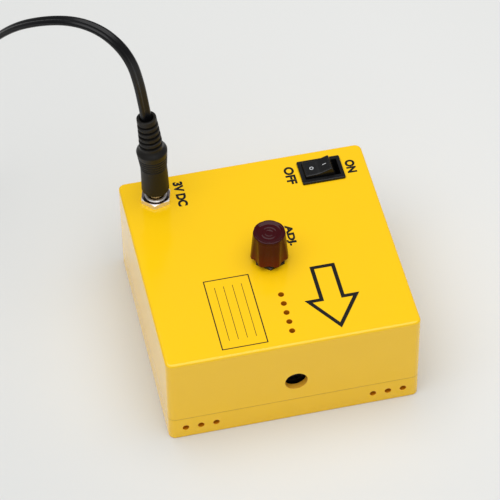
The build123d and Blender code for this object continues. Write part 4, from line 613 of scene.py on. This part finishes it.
# The spring is squeezed between the lower shell and the cradle's arm, and the laser's
# wires give as the driver board moves with the cradle
spring_x, spring_y, _ = box_middle("return_spring")
spring_ends = [(spring_x, spring_y, corner.z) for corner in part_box("return_spring")]
bending("return_spring", *spring_ends, "spring_steel")
wire_joint = (0.0015, 0.0008)  # in from a wire's front end and down from its top
for wire_slot in ("wire_red", "wire_black"):
    wire_low, wire_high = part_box("laser_" + wire_slot)
    wire_board_end = (0.0, wire_low.y + wire_joint[0], wire_high.z - wire_joint[1])
    bending("laser_" + wire_slot, (0.0, wire_high.y, wire_low.z), wire_board_end, wire_slot)

# Laser
# Turned brass barrel along the beam, blackened. A blackened cell holds the collimating
# lens in its front, a spring keeps the focus, and the diode's gilt can sits behind.
laser_black = turned(
    "laser_black", (0.022, 0.022, 0.026), (0.030, 0.030, 0.034), 0.34, lines=3300.0,
    middle=beam_line, lying=True,
)[0]
finish(laser_black, "laser_barrel", "lens_cell")
diode_gold = turned(
    "diode_gold", (0.88, 0.64, 0.26), (0.70, 0.48, 0.20), 0.16, middle=beam_line, lying=True
)[0]
finish(diode_gold, "laser_diode")
lens_glass, shader, place = bare_material(
    "lens_glass", (0.93, 0.96, 0.98), 0.02, Transmission_Weight=0.9, IOR=1.52, Coat_Weight=1.0,
    Coat_Roughness=0.02,
)
coating = put(place, "TexNoise", Vector=place, Scale=260.0, Detail=2.0).outputs[0]
feed(shader, Base_Color=between(coating, (0.80, 0.88, 0.98), (0.90, 0.84, 0.97)))
finish(lens_glass, "collimating_lens")

# Power inlet
# Nickel-plated threaded barrel, held to the case's top by a hexagon nut. An insulator
# carries the centre pin, and a bronze tag takes the barrel's side of the supply.
nut_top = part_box("jack_nut")[1].z
inlet_middle = box_middle("jack_nut")
inlet_nickel = turned(
    "inlet_nickel", (0.78, 0.75, 0.72), (0.62, 0.59, 0.56), 0.27, lines=2000.0, line_depth=0.00003,
    middle=inlet_middle, metallic=0.75,
)[0]
finish(inlet_nickel, "jack_barrel", "jack_center_pin", "plug_center_contact")

# The nut's top face is polished and its sides, down from the turned corners, are satin. The
# top's dark colour is painted shade, and the sides' pale warm colour a painted reflection
nut_top_painted_shade = (0.42, 0.37, 0.39)
nut_tarnish = (0.30, 0.26, 0.28)
nut_side_painted_reflection = (0.84, 0.80, 0.74)
nut_edge = (0.00008, 0.00012)  # from where to where below the top face it turns satin
nut_nickel, shader, place, tone = turned(
    "nut_nickel", nut_top_painted_shade, nut_tarnish, 0.14, lines=2000.0, middle=inlet_middle
)
nut_side = ramp(sum_up("SUBTRACT", nut_top, axes(place)["Z"]), *nut_edge)
feed(
    shader,
    Base_Color=between(nut_side, tone, nut_side_painted_reflection),
    Roughness=ramp(nut_side, 0, 1, 0.14, 0.46),
    Metallic=ramp(nut_side, 0, 1, 1.0, 0.72),
)
finish(nut_nickel, "jack_nut")
switch_black = moulded(
    "switch_black", (0.005, 0.005, 0.0055), (0.008, 0.008, 0.0085), 0.26, 0.36,
    grains=3000.0, grain_depth=0.000004, Specular_IOR_Level=0.3,
)[0]
finish(switch_black, "jack_insulator", "plug_insulator")
bronze = turned("bronze_strip", (0.70, 0.42, 0.20), (0.50, 0.28, 0.14), 0.30, lines=1500.0)[0]
finish(bronze, "jack_tag")

# Rocker switch
# Black snap-in frame with a sloping rocker, whose ring and bar are printed in white. A
# spring plunger in the rocker's stem throws a bronze blade between the tags.
finish(switch_black, "switch_frame")
finish(bronze, "switch_contact", "switch_terminals")
off_white = moulded("off_white", (0.74, 0.72, 0.66), (0.68, 0.66, 0.60), 0.40, 0.52)[0]
finish(off_white, "switch_plunger", "thrust_foot")
rocker_pivot = np.array([0.0279, 0.0336, 0.03542])
rocker_tilt = radians(12.5)
rocker_along = np.array([cos(rocker_tilt), 0.0, sin(rocker_tilt)])
rocker_across = np.array([0.0, 1.0, 0.0])
rocker_axes = np.array([rocker_along, rocker_across, np.cross(rocker_along, rocker_across)])
rocker_valley = 0.0064
rocker_slope = 0.165
rocker_valley_softness = 0.0005
rocker_half_along = 0.00498
rocker_half_across = 0.00350
rocker_edge_radius = 0.0003
rocker_corner_radius = 0.0004
rocker_bore_radius = 0.00115
rocker_bore_top = 0.0020
rocker_stem_radius = 0.0019
rocker_stem_end = 0.0036
rocker_belly = -0.0015
# Half length, half width and height of its levels from the belly up to the mouth
rocker_sides = [(0.0022, 0.0036, rocker_belly), (0.0049, 0.0036, 0.0010), (0.0056, 0.0036, 0.0040)]


def rocker_top(along):
    """Height of the rocker's top over its pivot: a shallow V with a rounded bottom."""
    return rocker_valley + rocker_slope * np.sqrt(along**2 + rocker_valley_softness**2)


def on_rocker(along, across, height):
    """Points from how far they lie along the rocker, across it and over its pivot."""
    offsets = np.broadcast_arrays(along, across, height)
    return rocker_pivot + np.stack(offsets, axis=-1) @ rocker_axes


def rocker_loop(half_along, half_across):
    """Rounded rectangle round the rocker's middle: a quarter circle at each corner and
    evenly spaced points along the two long sides between them."""
    quarter = np.linspace(0, pi / 2, 6)
    straight_along = half_along - rocker_corner_radius
    straight_across = half_across - rocker_corner_radius
    run = np.linspace(1, -1, 18)[1:-1] * straight_along
    along, across = [], []
    for side_along, side_across, quarters in ((1, 1, 0), (-1, 1, 1), (-1, -1, 2), (1, -1, 3)):
        corner = quarters * pi / 2 + quarter
        along.append(side_along * straight_along + rocker_corner_radius * np.cos(corner))
        across.append(side_across * straight_across + rocker_corner_radius * np.sin(corner))
        if side_along == side_across:
            along.append(side_across * run)
            across.append(np.full(len(run), side_across * half_across))
    return np.concatenate(along), np.concatenate(across)


# The rocker's outline goes from the bore in its stem over the stem and the belly, up the
# sides, which flare from the top's edge down to the mouth, and over the top
edge_along, edge_across = rocker_loop(rocker_half_along, rocker_half_across)
round_stem = np.arctan2(edge_across, edge_along)
rocker_rows = []
for radius, height in (
    (rocker_bore_radius, rocker_bore_top), (rocker_bore_radius, -rocker_stem_end),
    (rocker_stem_radius, -rocker_stem_end), (rocker_stem_radius, rocker_belly),
):
    stem_along, stem_across = radius * np.cos(round_stem), radius * np.sin(round_stem)
    rocker_rows.append(on_rocker(stem_along, stem_across, height))
for half_along, half_across, height in rocker_sides:
    rocker_rows.append(on_rocker(*rocker_loop(half_along, half_across), height))
for bend in np.radians([0, 30, 60, 90]):
    inwards = rocker_edge_radius * (1 - cos(bend))
    below_top = rocker_edge_radius * (1 - sin(bend))
    edge_along, edge_across = rocker_loop(rocker_half_along - inwards, rocker_half_across - inwards)
    rocker_rows.append(on_rocker(edge_along, edge_across, rocker_top(edge_along) - below_top))
for share in (0.85, 0.7, 0.5, 0.3, 0.1, 0.02):
    row_along, row_across = share * edge_along, share * edge_across
    rocker_rows.append(on_rocker(row_along, row_across, rocker_top(row_along)))
rocker_skin = skin("rocker_moulding", np.array(rocker_rows), sharp_angle=50)
rocker_skin.data.materials.append(switch_black)
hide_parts("switch_rocker")
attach(rocker_skin, "rocker")

# White ring and bar, pad printed on the rocker's top: low boxes that follow its slope
white_print, shader, place = bare_material("white_print", (0.62, 0.64, 0.66), 0.45)
print_noise = put(place, "TexNoise", Vector=place, Scale=3000.0, Detail=2.0).outputs[0]
feed(shader, Base_Color=between(print_noise, (0.54, 0.56, 0.58), (0.70, 0.71, 0.72)))
box_across = np.array([-1.0, 1.0, 1.0, -1.0])
print_across = 0.00012 * box_across
print_lift = 0.00004 * np.array([-0.5, -0.5, 1.0, 1.0])
ring_middle, ring_radius = -0.00215, 0.00060
round_ring = full_turn(40)[:, None]
ring_along = ring_middle + (ring_radius + print_across) * np.cos(round_ring)
ring_across = (ring_radius + print_across) * np.sin(round_ring)
ring_grid = on_rocker(ring_along, ring_across, rocker_top(ring_along) + print_lift)
bar_middle, bar_half_length = 0.00267, 0.00072
bar_along = bar_middle + bar_half_length * np.linspace(-1, 1, 5)[:, None]
bar_grid = on_rocker(bar_along, print_across, rocker_top(bar_along) + print_lift)
for mark in (skin("rocker_ring_print", ring_grid, joined=True), skin("rocker_bar_print", bar_grid)):
    mark.data.materials.append(white_print)
    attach(mark, "rocker")

# Printing on the upper shell
# Black ink, pad printed on the yellow top after moulding. The words read from the case's
# right side, so they run towards the front with their tops to the right.
print_black, shader, place = bare_material(
    "print_black", (0.005, 0.004, 0.003), 0.5, Specular_IOR_Level=0.2
)
ink_noise = put(place, "TexNoise", Vector=place, Scale=2600.0, Detail=3.0).outputs[0]
ink_share = ramp(ink_noise, 0.45, 0.8)
feed(shader, Base_Color=between(ink_share, (0.005, 0.0045, 0.004), (0.013, 0.010, 0.006)))
ink_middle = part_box("top_shell")[1].z  # the ink is half sunk into the top
ink_low, ink_high = ink_middle - 0.00002, ink_middle + 0.00002


def printed_word(name, words, low_x, high_x, back_y, front_y, boldness=0.055):
    """Word as a thin plate of ink: its outline is stretched to fill the box it is given,
    its length to run from back to front and its height from left to right."""
    text = bpy.data.curves.new(name, "FONT")
    text.body = words
    text.extrude = 0.5
    text.offset = boldness
    text.resolution_u = 5
    letters, places = mesh_of(text)
    low, high = places.min(axis=0), places.max(axis=0)
    share = (places - low) / (high - low)
    corner = np.array([low_x, back_y, ink_low])
    stretch = np.array([high_x - low_x, front_y - back_y, ink_high - ink_low])
    letters.vertices.foreach_set("co", (corner + stretch * share[:, [1, 0, 2]]).ravel())
    letters.update()
    return new_object(name, letters)


def printed_line(name, corners, line_width):
    """Closed line of ink through its corners: a low box carried round them, mitred by
    moving each corner along the mean of its two sides' normals."""
    corners = np.array(corners)
    side_before = unit(corners - np.roll(corners, 1, axis=0))
    normal_before = side_before[:, ::-1] * (1, -1)
    normal_after = np.roll(normal_before, -1, axis=0)
    mitre = (normal_before + normal_after) / (1 + np.sum(normal_before * normal_after, axis=1))[:, None]
    level = corners[:, None] + mitre[:, None] * (line_width / 2 * box_across)[:, None]
    height = np.array([ink_low, ink_low, ink_high, ink_high])
    grid = np.concatenate([level, np.broadcast_to(height, level.shape[:2])[..., None]], axis=-1)
    return skin(name, grid, joined=True, sharp_angle=20)


def rectangle(low_x, high_x, back_y, front_y):
    """Corners of a level rectangle, in order round it."""
    return [(low_x, back_y), (high_x, back_y), (high_x, front_y), (low_x, front_y)]


def printed_bar(name, *sides):
    """Filled bar of ink as a low box between its four sides."""
    corners = rectangle(*sides)
    grid = np.array([[[*corner, level] for corner in corners] for level in (ink_low, ink_high)])
    return skin(name, grid, sharp_angle=20)


prints = [
    printed_word("on_print", "ON", 0.0371, 0.0407, 0.0367, 0.0303),
    printed_word("off_print", "OFF", 0.0147, 0.0184, 0.0382, 0.0296, 0.045),
    printed_word("inlet_print", "3V DC", -0.0257, -0.0221, 0.0402, 0.0281),
    printed_word("adjust_print", "ADJ.", 0.0081, 0.0115, 0.0106, 0.0007),
]

# Ruled field for a note and the arrow that points out of the beam's window
note_field = (-0.0246, -0.0087, -0.00895, -0.0405)
field_left, field_right, field_back, field_front = note_field
field_lines = 4
field_line_half = 0.0001
field_margin = 0.0035
prints.append(printed_line("note_field_print", rectangle(*note_field), 0.0004))
for line in range(1, field_lines + 1):
    line_x = field_left + line * (field_right - field_left) / (field_lines + 1)
    line_sides = line_x - field_line_half, line_x + field_line_half
    line_ends = field_back - field_margin, field_front + field_margin
    prints.append(printed_bar(f"note_line_{line}_print", *line_sides, *line_ends))
arrow_x, arrow_back, arrow_neck, arrow_tip = 0.0175, -0.0112, -0.0262, -0.0388
arrow_shaft_half, arrow_head_half = 0.0038, 0.0085
arrow_half = [
    (arrow_shaft_half, arrow_back), (arrow_shaft_half, arrow_neck), (arrow_head_half, arrow_neck)
]
arrow_right = [(arrow_x + half_width, y) for half_width, y in arrow_half]
arrow_left = [(arrow_x - half_width, y) for half_width, y in arrow_half]
arrow_corners = [*arrow_right, (arrow_x, arrow_tip), *arrow_left[::-1]]
prints.append(printed_line("beam_arrow_print", arrow_corners, 0.0014))
for ink in prints:
    ink.data.materials.append(print_black)
    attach(ink, "case")

# Knob, its screw and its bushing
# Fluted knob moulded in dark translucent red, with a brass insert pressed into it. It
# turns a steel screw in a nickel-plated bushing, which a nut holds in the case's top.
knob_foot, knob_top = (corner.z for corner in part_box("knob_cap"))
knob_middle = box_middle("knob_cap")
knob_foot_radius = 0.0068
knob_top_radius = 0.00570
knob_flutes = 7
knob_first_ridge = radians(-129.5)
knob_cutter_radius = 0.0042
knob_flute_depth_low = 0.0010
knob_flute_depth_high = 0.00005
knob_ridge_softness = 0.00016
knob_foot_bevel = (0.0003, 0.00025)  # in from the side and up from the foot
knob_rim_radius = 0.00045
knob_bore_radius = 0.00322
knob_bore_depth = 0.0088


def knob_side(turn, height):
    """Radius of the knob's side: the smaller of a cone's radius and the distance to a
    round cutter that leans with the cone, eased into each other by a square root."""
    share = (height - knob_foot) / (knob_top - knob_foot)
    cone = knob_foot_radius + (knob_top_radius - knob_foot_radius) * share
    flute_depth = knob_flute_depth_low + (knob_flute_depth_high - knob_flute_depth_low) * share
    cutter_middle = cone - flute_depth + knob_cutter_radius
    flute_turn = 2 * pi / knob_flutes
    from_flute = (turn - knob_first_ridge) % flute_turn - flute_turn / 2
    cutter_across = cutter_middle * np.sin(from_flute)
    half_chord = np.sqrt(np.maximum(knob_cutter_radius**2 - cutter_across**2, 0))
    cut = cutter_middle * np.cos(from_flute) - half_chord
    return (cone + cut - np.sqrt((cone - cut) ** 2 + knob_ridge_softness**2)) / 2


# The knob's outline goes from the bore in its underside over the foot, up the fluted
# side, round the rim and down into a dish with two low rings in its floor. The dish is
# given in millimetres: a radius, and how far below the rim the surface is there.
knob_dish = [
    (5.00, 0.02), (4.78, 0.08), (4.50, 0.28), (4.25, 0.42), (3.90, 0.48), (2.90, 0.50),
    (2.72, 0.44), (2.60, 0.40), (2.48, 0.44), (2.30, 0.50), (1.65, 0.52), (1.50, 0.47),
    (1.40, 0.44), (1.28, 0.48), (1.10, 0.53), (0.30, 0.54),
]
round_knob = full_turn(168)
side_heights = np.linspace(knob_foot + knob_foot_bevel[1], knob_top - knob_rim_radius, 24)
knob_rows = [(knob_bore_radius, knob_foot + knob_bore_depth), (knob_bore_radius, knob_foot)]
knob_rows.append((knob_side(round_knob, knob_foot) - knob_foot_bevel[0], knob_foot))
knob_rows += [(knob_side(round_knob, height), height) for height in side_heights]
for bend in np.radians([15, 30, 45, 60, 75, 90]):
    inwards = knob_rim_radius * (1 - cos(bend))
    rim_height = side_heights[-1] + knob_rim_radius * sin(bend)
    knob_rows.append((knob_side(round_knob, side_heights[-1]) - inwards, rim_height))
knob_rows += [(radius / 1000, knob_top - below_rim / 1000) for radius, below_rim in knob_dish]
knob_ring = np.column_stack([np.cos(round_knob), np.sin(round_knob), 0 * round_knob])
knob_grid = [
    knob_ring * np.reshape(radius, (-1, 1)) + (*knob_middle.xy, height) for radius, height in knob_rows
]
knob_skin = skin("knob_moulding", np.array(knob_grid), sharp_angle=50)
# Painted light on the knob: a painted red glow low on its side, strongest at the foot, where light comes
# through the plastic, and painted shade, darker and bluer, towards its top
knob_painted_glow = (0.125, 0.0070, 0.0040)
knob_painted_glow_heights = (knob_foot + 0.0065, knob_foot + 0.0002)
knob_top_painted_shade = (0.040, 0.0025, 0.0045)
knob_top_painted_shade_heights = (knob_top - 0.0016, knob_top - 0.0004)
knob_red, shader, place, tone, _ = moulded(
    "knob_red", (0.064, 0.0040, 0.0045), (0.054, 0.0035, 0.0045), 0.07, 0.12,
    grains=1200.0, grain_depth=0.000002, Specular_IOR_Level=0.19,
)
on_knob = axes(place)["Z"]
towards_top = ramp(on_knob, *knob_top_painted_shade_heights)
with_painted_glow = between(ramp(on_knob, *knob_painted_glow_heights), tone, knob_painted_glow)
knob_surface = between(towards_top, with_painted_glow, knob_top_painted_shade)
feed(shader, Base_Color=knob_surface, Roughness=ramp(towards_top, 0, 1, 0.30, 0.06))
knob_skin.data.materials.append(knob_red)
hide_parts("knob_cap")
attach(knob_skin, "knob")
# The nickel-plated bushing and its nut are coloured near black: painted shade under the knob
for metal_name, metal_color, tarnish_color, metal_roughness, *metal_pieces in (
    ("knob_nickel", (0.060, 0.052, 0.050), (0.045, 0.040, 0.038), 0.32, "adjuster_bushing", "bushing_nut"),
    ("insert_brass", (0.74, 0.50, 0.18), (0.54, 0.35, 0.12), 0.22, "knob_insert"),
    ("adjuster_steel", (0.55, 0.55, 0.55), (0.42, 0.41, 0.40), 0.28, "adjuster_screw"),
):
    metal = turned(metal_name, metal_color, tarnish_color, metal_roughness, middle=knob_middle)[0]
    finish(metal, *metal_pieces)

# Plug
# Brass barrel in a soft black moulded body. The body has a plain sleeve, a grip that
# widens and is ringed with fine grooves, a rounded shoulder, a tail with five deep
# grooves that lets it bend, and an open collar that the lead comes out of.
plug_foot_along = 0.0004
plug_foot_radius = 0.00495
plug_foot_bevel = 0.0003
plug_sleeve_radius = 0.00476
plug_sleeve_end = 0.0126
plug_grip_start_radius = 0.00490
plug_grip_radius = 0.00555
plug_grip_end = 0.0195
plug_shoulder_end = 0.0219
plug_tail_root_radius = 0.00425
plug_tail_tip_radius = 0.00350
plug_bore_radius = 0.00277
plug_bore_depth = 0.0030
plug_ring_pitch = 0.00118
plug_rings = 5
plug_ring_start = 0.01195
plug_ring_depth = 0.00020
plug_groove_first = 0.0234
plug_groove_pitch = 0.00236
plug_grooves = 5
plug_groove_half_width = 0.00054
plug_groove_depth = 0.00095
plug_collar_bore_radius = 0.00245
plug_rim_radii = (0.00325, 0.00265)
plug_seat_radius = 0.00235
plug_small_step = 0.00012


def plug_radius(along):
    """Outside radius of the plug's body: straight runs between its sections, less a
    cosine hollow for each fine ring and a flat-bottomed one for each deep groove."""
    stations = [
        (plug_foot_along, plug_foot_radius - plug_foot_bevel),
        (plug_foot_along + plug_foot_bevel, plug_foot_radius),
        (plug_sleeve_end, plug_sleeve_radius),
        (plug_sleeve_end + plug_small_step, plug_grip_start_radius),
        (plug_grip_end, plug_grip_radius),
    ]
    radius = np.interp(along, *zip(*stations))
    shoulder = smooth_step(along, plug_grip_end, plug_shoulder_end)
    tail_radii = [plug_tail_root_radius, plug_tail_tip_radius]
    tail = np.interp(along, [plug_shoulder_end, plug_length], tail_radii)
    radius = (1 - shoulder) * radius + shoulder * tail
    ring_turn = (along - plug_ring_start) / plug_ring_pitch
    ringed = (ring_turn > 0) & (ring_turn < plug_rings)
    radius -= np.where(ringed, plug_ring_depth / 2 * (1 - np.cos(2 * pi * ring_turn)), 0)
    groove_places = plug_groove_first + plug_groove_pitch * np.arange(plug_grooves)
    from_groove = np.abs(along[:, None] - groove_places).min(axis=1)
    wall_start, wall_end = 0.85 * plug_groove_half_width, 1.2 * plug_groove_half_width
    return radius - plug_groove_depth * (1 - smooth_step(from_groove, wall_start, wall_end))


# The plug's outline goes from the bore in its foot over the outside to the collar's rim,
# and down inside the collar past the lead's start
plug_outside = np.linspace(plug_foot_along, plug_length, 420)
collar_rim = plug_length + plug_small_step
plug_seat = plug_length - lead_seat - 0.0003
plug_outline = [
    ([plug_bore_depth, plug_foot_along], [plug_bore_radius, plug_bore_radius]),
    (plug_outside, plug_radius(plug_outside)),
    ([collar_rim, collar_rim], plug_rim_radii),
    ([plug_length - 0.0001, plug_seat], [plug_collar_bore_radius, plug_seat_radius]),
]
plug_along, plug_reach = (np.concatenate(run) for run in zip(*plug_outline))
plug_middles, plug_ahead = plug_line(plug_along)
plug_other_side = np.cross(plug_ahead, plug_side)
round_plug = full_turn(72)[:, None]
plug_grid = plug_middles[:, None] + plug_reach[:, None, None] * (
    np.cos(round_plug) * plug_side + np.sin(round_plug) * plug_other_side[:, None]
)
plug_skin = skin("plug_moulding", plug_grid, sharp_angle=50)
plug_rubber = moulded(
    "plug_rubber", (0.0058, 0.0052, 0.0045), (0.0090, 0.0080, 0.0066), 0.40, 0.52,
    grains=3200.0, Specular_IOR_Level=0.24,
)[0]
plug_skin.data.materials.append(plug_rubber)
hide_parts("plug_body")
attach(plug_skin, "case")
plug_brass = turned(
    "plug_brass", (0.74, 0.52, 0.22), (0.54, 0.36, 0.15), 0.18, middle=inlet_middle
)[0]
finish(plug_brass, "plug_barrel")

# Plug-in supply
# Two black shells glued together round a circuit board and its transformer, with two
# round mains pins in a raised nose, and a grooved boot where the lead goes in.
supply_black = moulded(
    "supply_black", (0.016, 0.016, 0.017), (0.024, 0.023, 0.024), 0.46, 0.60,
    grains=1400.0, grain_depth=0.00004,
)[0]
finish(supply_black, "supply_rear_case", "supply_front_case")
finish(lead_vinyl, "supply_strain_relief")
pin_nickel = turned(
    "pin_nickel", (0.80, 0.78, 0.74), (0.60, 0.58, 0.54), 0.16,
    middle=(0.0, 0.0, box_middle("mains_pins").z), lying=True,
)[0]
finish(pin_nickel, "mains_pins")

# The transformer's core is a stack of steel plates between yellow-taped windings
core_half_depth = 0.00451
core_steel, shader, place = bare_material("core_steel", (0.25, 0.26, 0.28), 0.40)
from_core = sum_up("SUBTRACT", axes(place)["Y"], box_middle("supply_transformer").y)
past_core = sum_up("GREATER_THAN", sum_up("ABSOLUTE", from_core), core_half_depth)
plate_edges = put(
    place, "TexWave", {"bands_direction": "Y"}, Vector=place, Scale=900.0, Distortion=0.4, Detail=2.0
).outputs["Fac"]
plates = between(plate_edges, (0.16, 0.17, 0.18), (0.42, 0.43, 0.45))
feed(
    shader,
    Base_Color=between(past_core, plates, (0.72, 0.50, 0.06)),
    Metallic=sum_up("SUBTRACT", 1.0, past_core),
    Normal=bump(plate_edges, 0.00005, 0.5),
)
finish(core_steel, "supply_transformer")

# Floor and lamps
# A pale studio table, lit evenly from all round by the room and from above by one large
# soft lamp. Where the camera sees the table, its colour carries painted light: darker on
# the left, paler on the right and at the back.
floor_half = 3.0
floor_pale = (0.86, 0.86, 0.845)
floor_painted_light_left = (0.676, 0.684, 0.674)
floor_painted_light_right = (0.748, 0.752, 0.738)
floor_change_half = 0.12  # how far on each side of the middle the colour still changes
floor_mesh = bpy.data.meshes.new("floor")
floor_corners = rectangle(-floor_half, floor_half, -floor_half, floor_half)
floor_mesh.from_pydata([(*corner, 0) for corner in floor_corners], [], [(0, 1, 2, 3)])
floor = new_object("floor", floor_mesh)
floor_paper, shader, place = bare_material("floor_paper", floor_pale, 0.85)
# Painted light on the table as the camera sees it, darker on the left and paler on the right and at the
# back
on_floor = axes(place)
floor_across = sum_up("ADD", on_floor["X"], sum_up("MULTIPLY", on_floor["Y"], 0.3))
floor_share = ramp(floor_across, -floor_change_half, floor_change_half)
floor_painted_light = between(floor_share, floor_painted_light_left, floor_painted_light_right)
seen = put(place, "LightPath").outputs["Is Camera Ray"]
feed(shader, Base_Color=between(seen, floor_pale, floor_painted_light))
floor_mesh.materials.append(floor_paper)

room = bpy.data.worlds.new("room")
bpy.context.scene.world = room
room.use_nodes = True
room_light = room.node_tree.nodes["Background"].inputs
room_light["Color"].default_value = (0.97, 0.98, 1.0, 1)
room_light["Strength"].default_value = 0.25

lamp_place = np.array([-0.10, -0.15, 1.3])
lamp_target = np.array([0.0, 0.0, 0.02])
lamp_light = bpy.data.lights.new("overhead_lamp", "AREA")
lamp_light.size = 1.9
lamp_light.energy = 25.4
lamp = new_object("overhead_lamp", lamp_light)
lamp_back = unit(lamp_place - lamp_target)
lamp_side = unit(np.cross(upright, lamp_back))
lamp.matrix_world = aimed(lamp_side, np.cross(lamp_back, lamp_side), lamp_back, lamp_place)
bpy.context.scene.view_settings.view_transform = "Standard"
